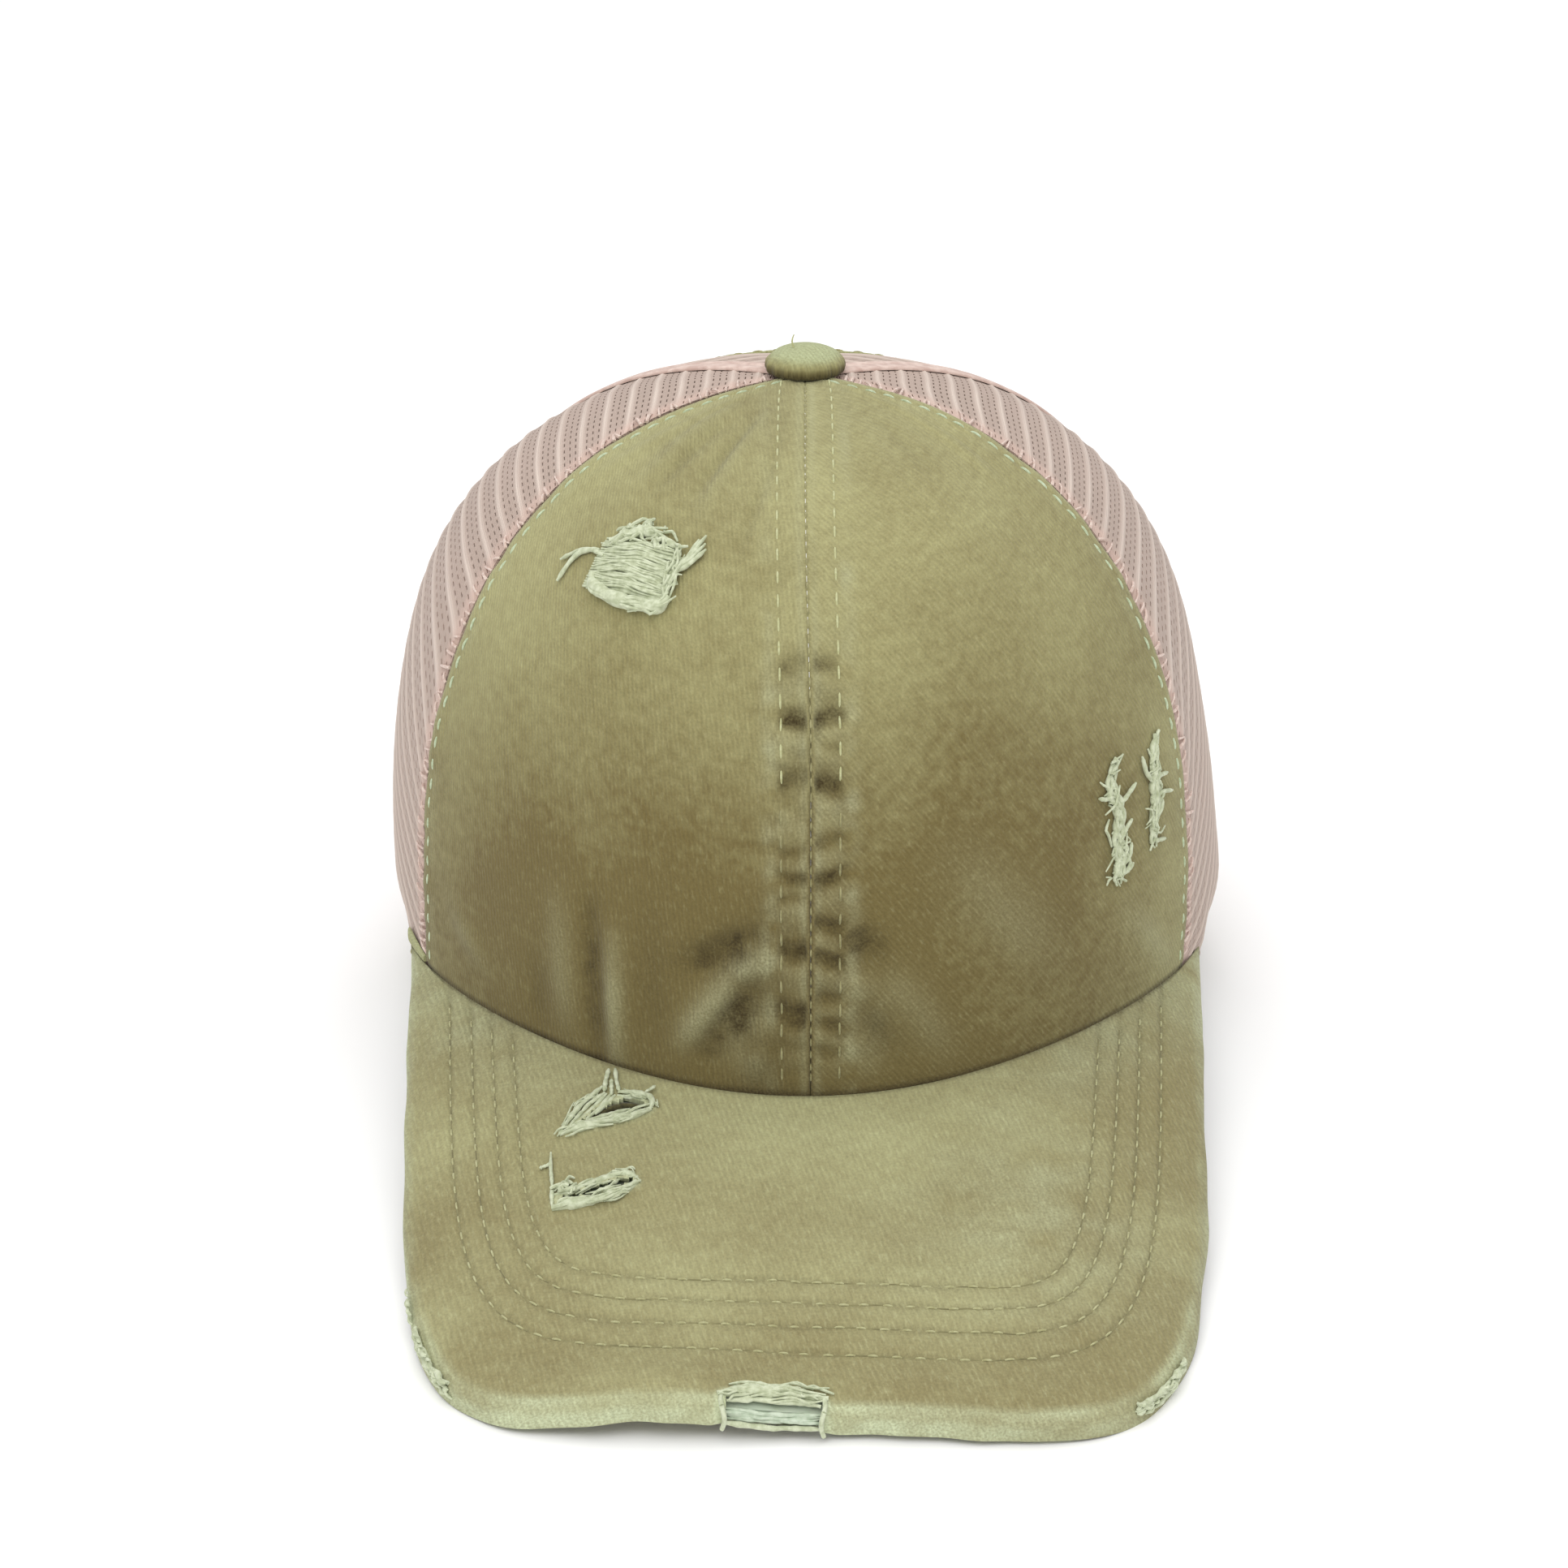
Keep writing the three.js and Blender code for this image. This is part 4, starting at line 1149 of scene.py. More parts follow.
def back_band(name, node, start, end, low, high, depth, rounding, seed):
    """A flat band across the foot of the opening, with its stitches just inside its edges."""
    columns, rows = 110, 22
    share, up = np.meshgrid(np.linspace(0, 1, columns + 1), np.linspace(0, 1, rows + 1), indexing="ij")
    across = lerp(start, end, share)
    past = np.clip((across - (end - rounding)) / rounding, 0, 1)
    corner = rounding * (1 - np.sqrt(1 - past**2))
    height = lerp(low + corner, high - corner, up)
    angle = rear_angle(np.abs(across), height) * np.where(across < 0, -1, 1)
    aside = np.minimum(up, 1 - up) * (high - low)
    ends = np.minimum(across - start, end - across)
    edge = np.minimum(aside, ends)
    swell = 0.12 - 0.25 * hump(edge - 1.8, 0.5) - 0.4 * hump(edge, 0.35)
    swell += 0.14 * soft_noise(across * 0.16, up * 4, seed, 2)
    outer = skin(angle, height, depth - np.clip(swell, -0.4, 0.26))
    inner = skin(angle, height, depth + STRAP_THICKNESS + np.clip(swell, -0.4, 0.26))
    cloth = np.stack([across, up * (high - low), 0 * up], axis=-1)
    patchy = 0.5 + 0.5 * soft_noise(across * 0.2, up * 5, seed + 1, 2)
    marks = {"tone": 0.35 + 0 * up, "rub": 0.55 * hump(edge, 1.0) * patchy}
    make_piece(name, shell(outer, inner, grid_quads(columns, rows)), twill_trim, [node], cloth, marks)
    stitches = []
    inset = 1.8
    row_at = inset / (high - low)
    for line in (row_at, 1 - row_at):
        path = np.linspace(0.01, 1 - inset / (end - start), 120)
        across_at = lerp(start, end, path)
        height_on = np.full(120, lerp(low, high, line))
        angle_on = rear_angle(np.abs(across_at), height_on) * np.where(across_at < 0, -1, 1)
        normal = dome_normal(angle_on, height_on)
        for face, sign in ((depth, 1), (depth + STRAP_THICKNESS, -1)):
            place = skin(angle_on, height_on, np.full(120, face + 0.1 * sign))
            stitches.append(stitch_row(place, sign * normal, seed=seed + 3))
    up_path = np.linspace(row_at, 1 - row_at, 60)
    across_at = np.full(60, end - inset)
    height_on = lerp(low, high, up_path)
    angle_on = rear_angle(np.abs(across_at), height_on) * np.where(across_at < 0, -1, 1)
    place = skin(angle_on, height_on, np.full(60, depth + 0.1))
    stitches.append(stitch_row(place, dome_normal(angle_on, height_on), seed=seed + 5))
    return stitches


# Peak
# Rows of stitches: how far in from the rim in front and at the sides, and squareness
PEAK_ROWS = [(12.2, 8.3, 6.3), (17.8, 12.3, 7.2), (22.8, 16.0, 8.0), (27.4, 19.7, 9.0)]
ROW_SLANT = 0.035  # the rows come forward to the right by this share
TEARS = {
    "root_tear": [(-42.6, -103.6), (-38.9, -100.2), (-36.0, -97.9), (-33.2, -97.0), (-29.6, -97.5), (-28.9, -99.2),
                  (-32.5, -101.0), (-38.0, -102.6)],
    "slit_tear": [(-43.6, -120.9), (-43.0, -119.9), (-38.5, -118.6), (-34.0, -116.9), (-30.9, -116.5),
                  (-30.6, -117.6), (-33.5, -118.9), (-38.0, -120.2)],
    "rim_tear": [(-13.4, -175.0), (-13.2, -164.6), (-9.0, -163.4), (-4.0, -163.8), (0.0, -163.6), (2.8, -164.6),
                 (3.0, -175.0)],
}


def row_point(row, across):
    """A row of stitches round the peak, in plan."""
    front_inset, side_inset, power = row
    turn = across * math.pi / 2
    sine, cosine = np.sin(turn), np.cos(turn)
    reach = (np.abs(sine) ** power + np.abs(cosine) ** power) ** (-1 / power)
    out = reach * cosine
    half = lerp(PEAK_ROOT_HALF, PEAK_FRONT_HALF, out) - side_inset
    x = half * reach * sine
    front = HINGE_Y - PEAK_LENGTH + front_inset - ROW_SLANT * x
    return np.stack([x, lerp(PEAK_ROOT_Y, front, out)], axis=-1)


def line_distance(x, y, line):
    """Distance in plan to the nearest point of a line."""
    best = np.full(np.shape(x), 1e9)
    for near, after in zip(line[:-1], line[1:]):
        away, _ = segment_distance(x, y, near, after)
        best = np.minimum(best, away)
    return best


def polygon_distance(x, y, corners):
    """Distance to a polygon's outline, negative inside it, and the nearest point on it."""
    best = np.full(x.shape, 1e9)
    near = np.stack([x, y], axis=-1)
    inside = np.zeros(x.shape, bool)
    for (ax, ay), (bx, by) in zip(corners, corners[1:] + corners[:1]):
        away, share = segment_distance(x, y, (ax, ay), (bx, by))
        closer = away < best
        best = np.where(closer, away, best)
        point = np.stack([ax + share * (bx - ax), ay + share * (by - ay)], axis=-1)
        near = np.where(closer[..., None], point, near)
        crosses = ((ay > y) != (by > y)) & (x < (bx - ax) * (y - ay) / ((by - ay) or 1e-9) + ax)
        inside ^= crosses
    return np.where(inside, -best, best), near


def peak_relief(across, x, y):
    """Stitched channels and soft waves in the peak's cloth, where it is rubbed, and painted shade in the crease at
    its root and along the stitched channels.
    """
    from_edge = nearest_rim(x, y)
    relief = 0.3 * soft_noise(x * 0.05, y * 0.06, 111) + 0.14 * soft_noise(x * 0.17, y * 0.2, 113)
    quilt = np.zeros_like(x)
    for number, row in enumerate(PEAK_ROWS):
        away = line_distance(x, y, row_point(row, np.linspace(-0.95, 0.95, 121)))
        tug = 0.7 + 0.5 * soft_noise(x * 0.25 + number * 9, y * 0.25, 115)
        quilt += hump(away, 0.6) * tug + 0.35 * hump(away, 1.5)
    relief -= 0.35 * quilt * smooth(from_edge, 1, 3)
    relief += 0.5 * hump(from_edge - 6, 3.0) * (0.6 + 0.4 * soft_noise(x * 0.06, y * 0.06, 127))
    patchy = 0.5 + 0.5 * soft_noise(x * 0.12, y * 0.2, 117, 3)
    rub = 0.5 * hump(from_edge - 1.3, 0.9) * (0.5 + 0.5 * patchy) * smooth(-y, 130, 150)
    rub = rub + 0.25 * hump(from_edge - 1.2, 1.0) * patchy
    root = peak_inner(across)
    from_root = np.hypot(root[..., 0] - x, root[..., 1] - y)
    rub = rub + 0.35 * (1 - smooth(from_root, 2, 24)) * (0.3 + 0.7 * patchy) * smooth(np.abs(x), 22, 60)
    rub = rub + 0.35 * hump(x - 44, 22) * hump(y + 125, 22) * patchy
    # Painted shade in the crease at the root and in the stitched channels
    deep = 0.45 * (1 - smooth(from_root, 0.2, 0.9)) + 0.2 * hump(quilt - 1, 0.5) * (quilt > 0.5)
    return relief, np.clip(rub, 0, 1), np.clip(deep, 0, 1)


RIM_TABLE = rim_point(np.linspace(-0.999, 0.999, 1601))


def nearest_rim(x, y):
    """Distance in plan to the nearest point of the rim."""
    return line_distance(x, y, RIM_TABLE[::8])


def peak_grid(columns, rows, surface, inwards, relief_scale, rounding, lip_end, tuck=0.0):
    """One cloth of the peak, from the crown out and over the rim: outer and inner points and marks."""
    across_line = np.linspace(-1, 1, columns + 1)
    turns = np.linspace(0, math.pi / 2, 6)[1:]
    lines = [(out, rounding, 0.0) for out in np.linspace(0, 1, rows + 1)]
    lines += [(1.0, rounding * (1 - math.sin(t)), rounding * (1 - math.cos(t))) for t in turns]
    lines += [(1.0, 0.0, lerp(rounding, lip_end, s)) for s in (0.5, 1.0)]
    out = np.array([line[0] for line in lines])
    inset = np.array([line[1] for line in lines])
    drop = np.array([line[2] for line in lines])
    across = np.broadcast_to(across_line[:, None], (columns + 1, len(lines)))

    def plan(extra):
        edge = inset_rim(across, np.broadcast_to(inset + extra + tuck, across.shape))
        return lerp(peak_inner(across), edge, np.broadcast_to(out, across.shape)[..., None])

    outer_plan, inner_plan = plan(0.0), plan(PEAK_CLOTH)
    relief, rub, deep = peak_relief(across, outer_plan[..., 0], outer_plan[..., 1])
    relief = relief * relief_scale * smooth(out, 0, 0.06)[None]
    limp = 0.45 * soft_noise(across * 20, drop[None] * 0.3, 119) * smooth(drop, 0, 1)
    from_crown = rim_point(across_line) - np.array([0.0, -100.0])
    outwards = unit(np.append(from_crown, np.zeros((columns + 1, 1)), 1))

    def lay(place, down):
        height = peak_top(place[..., 0], place[..., 1]) - (surface + inwards * down) + inwards * relief
        return np.dstack([place, height])

    outer, inner = lay(outer_plan, drop), lay(inner_plan, np.maximum(drop, PEAK_CLOTH))
    outer = outer + outwards[:, None] * limp[..., None]
    cloth = np.dstack([outer_plan, 0 * relief])
    cloth[..., 1] -= np.broadcast_to(drop, relief.shape)
    over = np.broadcast_to(smooth(drop, 0, 2.0), relief.shape)
    patchy = 0.5 + 0.5 * soft_noise(across * 30, drop[None] * 0.4, 125, 2)
    lip_pale = lerp(1.0, 0.55, smooth(cloth[..., 0], 5, 50))
    tone = 0.2 + 0.3 * soft_noise(cloth[..., 0] * 0.03, cloth[..., 1] * 0.04, 121, 3)
    tone = tone + 0.55 * smooth(cloth[..., 0], -10, 50) + 0.35 * smooth(-cloth[..., 1], 138, 158)
    tone = tone + 0.42 * smooth(-cloth[..., 0], 20, 56) + 0.08
    lip_rub = over * lerp(0.35, 0.95, patchy) * lip_pale
    rub = np.clip(rub * (1 - 0.4 * over) + lip_rub, 0, 1)
    marks = {"tone": np.clip(tone, 0, 1), "rub": rub, "deep": deep}
    return outer, inner, cloth, marks, len(lines) - 1


def torn_quads(outer, quads):
    """The faces that the tears leave."""
    flat = outer.reshape(-1, 3)
    gone = np.zeros(len(quads), bool)
    centres = flat[quads].mean(axis=1)
    for corners in TEARS.values():
        away, _ = polygon_distance(centres[:, 0], centres[:, 1], corners)
        gone |= away < 0
    return quads[~gone]


def peak_pieces():
    outer, inner, cloth, marks, rows = peak_grid(300, 84, 0.0, 1, 1.0, RIM_ROUND, PEAK_THICKNESS - 0.4)
    quads = torn_quads(outer, grid_quads(300, rows))
    from_tears = np.full(outer.shape[:2], 1e9)
    for corners in TEARS.values():
        away, _ = polygon_distance(outer[..., 0], outer[..., 1], corners)
        from_tears = np.minimum(from_tears, np.abs(away))
    curl = 0.55 * (1 - smooth(from_tears, 0, 2.6))
    outer[..., 2] += curl
    inner[..., 2] += curl
    marks["rub"] = np.clip(marks["rub"] + 0.7 * (1 - smooth(from_tears, 0.2, 2.0)), 0, 1)
    mesh = shell(outer, inner, quads)
    make_piece("peak_top_twill", mesh, twill_peak, ["peak_top_cloth"], cloth, marks)

    outer, inner, cloth, marks, rows = peak_grid(
        220, 48, PEAK_THICKNESS, -1, 0.7, LOWER_ROUND, PEAK_CLOTH - 0.05, LOWER_TUCK
    )
    mesh = shell(outer, inner, grid_quads(220, rows))
    make_piece("peak_under_twill", mesh, twill_peak, ["peak_under_cloth"], cloth, marks)

    columns, board_rows = 160, 24
    inset = PEAK_CLOTH + CLEARANCE
    shares = np.linspace(-BOARD_SHARE, BOARD_SHARE, columns + 1)
    across, out = np.meshgrid(shares, np.linspace(0, 1, board_rows + 1), indexing="ij")
    plan = lerp(peak_inner(across), inset_rim(across, np.full(across.shape, inset)), out[..., None])
    top = peak_top(plan[..., 0], plan[..., 1]) - inset - 0.12
    fur = 0.1 * soft_noise(plan[..., 0] * 0.5, plan[..., 1] * 1.1, 123, 2)
    outer = np.dstack([plan, top + fur])
    inner = np.dstack([plan, top - BOARD_THICKNESS + 0.24])
    mesh = shell(outer, inner, grid_quads(columns, board_rows))
    make_piece("peak_board_felt", mesh, board_finish, ["peak_board"])


def peak_stitches():
    rows = []
    groove_shade_tubes = []
    under = []
    for number, row in enumerate(PEAK_ROWS):
        across = np.linspace(-0.97, 0.97, 900)
        plan = row_point(row, across)
        angle = np.arctan2(plan[:, 0] / CROWN_WIDTH, -plan[:, 1] / CROWN_DEPTH)
        foot = skin(angle, np.full(900, HINGE_HEIGHT), 0.0)
        keep = np.linalg.norm(plan, axis=1) - np.linalg.norm(foot[:, :2], axis=1) > 3.0
        for corners in TEARS.values():
            away, _ = polygon_distance(plan[:, 0], plan[:, 1], corners)
            keep &= away > 0.3
        plan, at = plan[keep], across[keep]
        relief, _, _ = peak_relief(at, plan[:, 0], plan[:, 1])
        top = peak_top(plan[:, 0], plan[:, 1])
        up = peak_normal(plan[:, 0], plan[:, 1])
        line = np.column_stack([plan, top + relief])
        rows.append(stitch_row(line + up * 0.06, up, 1.9, 1.9, 0.2, 131 + number))
        # A dark tube sunk along each row: painted shade in its groove
        place, facing, _ = resample(line - up * 0.08, up, 0.8)
        groove_shade_tubes.append(tubes(place[None], np.full((1, len(place)), 0.2), facing[None], 6))
        low = top - PEAK_THICKNESS - 0.7 * relief
        under.append(stitch_row(np.column_stack([plan, low]), -up, 2.6, 1.2, 0.2, 141 + number))
    make_piece("peak_stitches", join(rows), peak_thread)
    make_piece("peak_groove_shade", join(groove_shade_tubes), groove_shade_thread)
    make_piece("peak_under_stitches", join(under), peak_thread)


def peak_normal(x, y):
    step = 0.01
    slope_x = (peak_top(x + step, y) - peak_top(x - step, y)) / (2 * step)
    slope_y = (peak_top(x, y + step) - peak_top(x, y - step)) / (2 * step)
    return unit(np.stack([-slope_x, -slope_y, np.ones_like(slope_x)], axis=-1))


# Button
def button():
    turns, rings = 96, 26
    turn = np.linspace(0, 2 * math.pi, turns + 1)[:-1]
    profile = [
        (2.4, -2.6), (2.5, -0.3), (4.5, 0.0), (6.6, 0.05), (7.5, 0.35), (7.95, 1.0), (8.0, 1.8), (7.75, 2.7),
        (7.1, 3.6), (6.1, 4.35), (4.7, 4.9), (3.1, 5.2), (1.5, 5.36), (0.02, 5.4),
    ]
    radius = np.array([p[0] for p in profile])
    level = np.array([p[1] for p in profile])
    at = np.linspace(0, len(profile) - 1, rings)
    spots = np.arange(len(profile))
    radius, level = np.interp(at, spots, radius), np.interp(at, spots, level)
    r = np.broadcast_to(radius[:, None], (rings, turns))
    z = np.broadcast_to(level[:, None], (rings, turns))
    gathers = np.sin(turn * 17 + 1.3 * np.sin(turn * 3)) * smooth(r, 5.5, 7.8) * (1 - smooth(z, 2.6, 4.2))
    x, y = r * np.cos(turn), r * np.sin(turn)
    dent = 0.3 * soft_noise(x * 0.22 + 7, y * 0.22 + 3, 151) * smooth(z, 2.5, 4.5)
    wide = 1 + 0.022 * gathers
    height = z + dent + CROWN_HEIGHT + CLEARANCE
    points = np.stack([x * wide, y * wide + TOP_SETBACK, height], axis=-1)
    body = ring_quads(rings, turns)
    half = turns // 2
    foot = np.array([[k, turns - 1 - k, turns - 2 - k, k + 1] for k in range(half - 1)])
    cap = np.array([[k, k + 1, turns - 2 - k, turns - 1 - k] for k in range(half - 1)]) + (rings - 1) * turns
    flat = points.reshape(-1, 3)
    cloth = np.stack([x, y, 0 * x], axis=-1)
    # Darker at the foot of the button: painted shade under its rim
    low = 1 - smooth(z, 0.9, 2.9)
    marks = {"tone": 0.4 + low + 0 * x, "rub": 0.9 * smooth(z, 2.8, 4.6) + 0 * x, "deep": 0.78 * low + 0 * x}
    mesh = (flat, np.concatenate([body, foot, cap]), np.arange(len(flat)))
    make_piece("button_twill", mesh, twill_trim, ["top_button"], cloth, marks)
    top = np.array([
        [-2.2, 0.6, 137.2], [-2.4, 0.7, 138.0], [-2.6, 0.8, 138.7], [-2.5, 1.0, 139.4], [-2.2, 1.2, 140.1],
    ])
    lifts = np.broadcast_to([0.0, 1.0, 0.0], (1, 5, 3))
    strand = tubes(top[None], np.array([[0.2, 0.2, 0.18, 0.15, 0.1]]), lifts, 6)
    make_piece("button_loose_thread", strand, pale_thread)


# Frays
def smooth_path(points, steps):
    """A smooth line through a few points of any dimension, in even steps."""
    points = np.asarray(points, float)
    lengths = np.concatenate([[0], np.cumsum(np.linalg.norm(np.diff(points, axis=0), axis=1))])
    stops = np.linspace(0, lengths[-1], steps)
    line = np.stack([np.interp(stops, lengths, points[:, k]) for k in range(points.shape[1])], axis=1)
    for _ in range(max(steps // 8, 1)):
        line[1:-1] = (line[:-2] + 2 * line[1:-1] + line[2:]) / 4
    return line


class OnCrown:
    """Places and directions for threads on the crown, given by angle in degrees, height and lift."""

    per_across = 0.86  # degrees for a millimetre across
    per_up = 0.8  # height for a millimetre up the cloth

    @staticmethod
    def place(path):
        angle, height = np.radians(path[..., 0]), path[..., 1]
        relief, _, _ = front_relief(angle, height)
        return skin(angle, height, -relief - path[..., 2]), dome_normal(angle, height)


class OnPeak:
    """Places and directions for threads on the peak's top, given by x, y and lift."""

    per_across = 1.0
    per_up = 1.0

    @staticmethod
    def place(path):
        x, y = path[..., 0], path[..., 1]
        up = peak_normal(x, y)
        base = np.stack([x, y, peak_top(x, y)], axis=-1)
        return base + up * path[..., 2:3], up


def threads(surface, lines, per_line, length, radius, spread_mm, lift, rng, steps=9, curl=0.5):
    """Loose threads strewn along lines: each follows its line for a length, a little aside, and wobbles."""
    paths, thick = [], []
    for line in lines:
        fine = smooth_path(line, 60)
        measured = fine[:, :2] / [surface.per_across, surface.per_up]
        total = np.sum(np.linalg.norm(np.diff(measured, axis=0), axis=1))
        for _ in range(per_line):
            part = min(rng.uniform(*length) / total, 1.0)
            start = rng.uniform(0, 1 - part)
            at = (start + part * np.linspace(0, 1, steps)) * 59
            path = np.stack([np.interp(at, np.arange(60), fine[:, k]) for k in range(2)], axis=1)
            wobble = rng.normal(0, 1, (4, 2))
            even = np.linspace(0, 3, steps)
            aside = np.stack([np.interp(even, np.arange(4), wobble[:, k]) for k in range(2)], axis=1)
            aside = aside * curl + rng.normal(0, 1, 2) * spread_mm
            path = path + aside * [surface.per_across, surface.per_up]
            raised = rng.uniform(*lift) * (0.35 + 0.65 * np.sin(np.linspace(0.12, 0.88, steps) * math.pi))
            paths.append(np.column_stack([path, raised]))
            thick.append(rng.uniform(*radius) * (0.4 + 0.6 * np.sin(np.linspace(0.1, 0.9, steps) * math.pi)))
    place, up = surface.place(np.array(paths))
    return tubes(place, np.array(thick), up, 6)


def rope(surface, line, radius, lift, seed, steps=28, sides=10, lumps=0.3):
    """One thick lumpy bundle along a line."""
    path = smooth_path([(*p[:2], 0) for p in line], steps)
    share = np.linspace(0, 1, steps)
    swell = 1 + lumps * soft_noise(share * 9, share * 0 + 0.5, seed, 2)
    taper = np.clip(np.minimum(share, 1 - share) * 7, 0.25, 1) ** 0.5
    path[:, 2] = lift
    place, up = surface.place(path[None])
    return tubes(place, (radius * swell * taper)[None], up, sides)


def peak_ropes(bundles, seed, steps, lumps):
    """A bundle on the peak for each line with its radius and lift."""
    made = []
    for number, (line, radius, lift) in enumerate(bundles):
        made.append(rope(OnPeak, line, radius, lift, seed + number, steps, 8, lumps))
    return made


def crown_frays():
    rng = np.random.default_rng(161)
    parts = []
    # The left tear: a band of bare weft threads between two rolled edges
    for height in np.linspace(108.6, 115.6, 20):
        sag = rng.uniform(-0.5, 0.5)
        line = [(-36.9, height), (-32, height + sag + 0.7), (-27, height + sag + 0.9), (-21.6, height + 0.4)]
        lift = 0.25 + rng.uniform(0, 0.35)
        parts.append(rope(OnCrown, line, 0.42, lift, int(rng.integers(1e6)), 18, 8, 0.25))
    band = [[(-36.5, h), (-29, h + 1.0), (-21.8, h + 0.6)] for h in (109.6, 110.8, 112.2, 113.4, 114.6)]
    parts.append(threads(OnCrown, band, 14, (8, 17), (0.2, 0.32), 0.5, (0.7, 1.3), rng, curl=0.35))
    low_roll = [(-36.0, 110.6), (-35.3, 109.2), (-31.0, 108.2), (-26.5, 108.0), (-22.4, 108.3), (-21.2, 110.0)]
    parts.append(rope(OnCrown, low_roll, 1.25, 0.75, 11, 40, 12, 0.25))
    parts.append(threads(OnCrown, [low_roll], 34, (4, 10), (0.26, 0.42), 0.6, (1.0, 2.0), rng, curl=0.3))
    top_roll = [(-35.8, 115.4), (-33.0, 116.6), (-29.8, 117.9), (-26.0, 117.4), (-22.4, 116.7)]
    parts.append(rope(OnCrown, top_roll, 1.0, 0.5, 13, 36, 12, 0.45))
    parts.append(threads(OnCrown, [top_roll], 30, (2, 5), (0.28, 0.46), 0.7, (0.7, 1.7), rng, curl=0.5))
    right_edge = [(-22.2, 109), (-21.6, 112), (-21.8, 115.5), (-22.5, 117)]
    parts.append(threads(OnCrown, [right_edge], 26, (2, 5), (0.22, 0.36), 0.6, (0.8, 1.7), rng, curl=0.6))
    for tip in ((-17.9, 118.6), (-17.6, 117.6), (-17.2, 116.9), (-18.6, 117.2), (-19.0, 118.0)):
        root = (-22.8 + rng.uniform(-0.4, 0.4), 112.6 + rng.uniform(-0.8, 0.8))
        middle = ((root[0] + tip[0]) / 2 + 0.3, (root[1] + tip[1]) / 2 - 0.5)
        parts.append(rope(OnCrown, [root, middle, tip], 0.4, 0.9, int(rng.integers(1e6)), 16, 8, 0.2))
    curl = [(-35.5, 113.3), (-38.5, 113.6), (-40.8, 112.6), (-41.7, 110.9), (-42.3, 107.9)]
    parts.append(rope(OnCrown, curl, 0.52, 0.65, 17, 26, 8, 0.2))
    second_curl = [(-37, 113.9), (-40.4, 113.2), (-42.6, 111.9), (-44.0, 110.8)]
    parts.append(rope(OnCrown, second_curl, 0.4, 0.6, 19, 20, 8))
    make_piece("left_crown_fray", join(parts), fray_thread)

    parts = []
    first = [(44.4, 77.2), (43.0, 75.0), (42.0, 73.2), (42.8, 70.2), (43.6, 67.6), (42.9, 64.3), (42.5, 60.2),
             (43.0, 57.6), (42.0, 55.6), (42.8, 53.5)]
    second = [(53.6, 77.4), (52.2, 75.4), (51.6, 72.6), (50.9, 69.3), (51.0, 65.5), (50.3, 62.0), (49.8, 59.2),
              (49.6, 56.7)]
    for spine, width, pace in ((first, 1.0, 0.78), (second, 0.85, 0.9)):
        for turn in range(3):
            swing = turn * 2 * math.pi / 3
            strand = [(a + width * math.sin(h * pace + swing), h) for a, h in smooth_path(spine, 40)]
            parts.append(rope(OnCrown, strand, 0.5, 0.45, int(rng.integers(1e6)), 44, 8, 0.5))
        parts.append(threads(OnCrown, [spine], 26, (4, 9), (0.24, 0.38), 0.7 * width, (0.4, 1.0), rng, curl=0.45))
        parts.append(threads(OnCrown, [spine], 16, (2, 4), (0.2, 0.3), 0.9 * width, (0.6, 1.4), rng, curl=0.8))
    spurs = [
        [(42.4, 70.6), (41.0, 70.7), (39.8, 71.4)], [(43.8, 68.8), (45.4, 70.0), (46.9, 71.1)],
        [(42.9, 61.6), (44.0, 63.6), (45.4, 64.9)], [(43.2, 57.0), (44.4, 58.2), (44.9, 60.6)],
        [(42.6, 55.4), (44.0, 55.6), (45.0, 56.6)], [(50.9, 66.6), (53.0, 66.2), (55.0, 65.2)],
        [(50.8, 69.4), (52.6, 69.6), (54.2, 69.2)], [(50.2, 69.6), (49.2, 72.0), (48.9, 75.0)],
        [(49.8, 58.2), (51.2, 57.6), (52.2, 57.2)], [(50.3, 62.4), (51.8, 63.4), (52.3, 65.0)],
    ]
    for number, spur in enumerate(spurs):
        parts.append(rope(OnCrown, spur, 0.42, 0.75, 200 + number, 14, 8, 0.2))
    make_piece("right_crown_frays", join(parts), fray_thread)


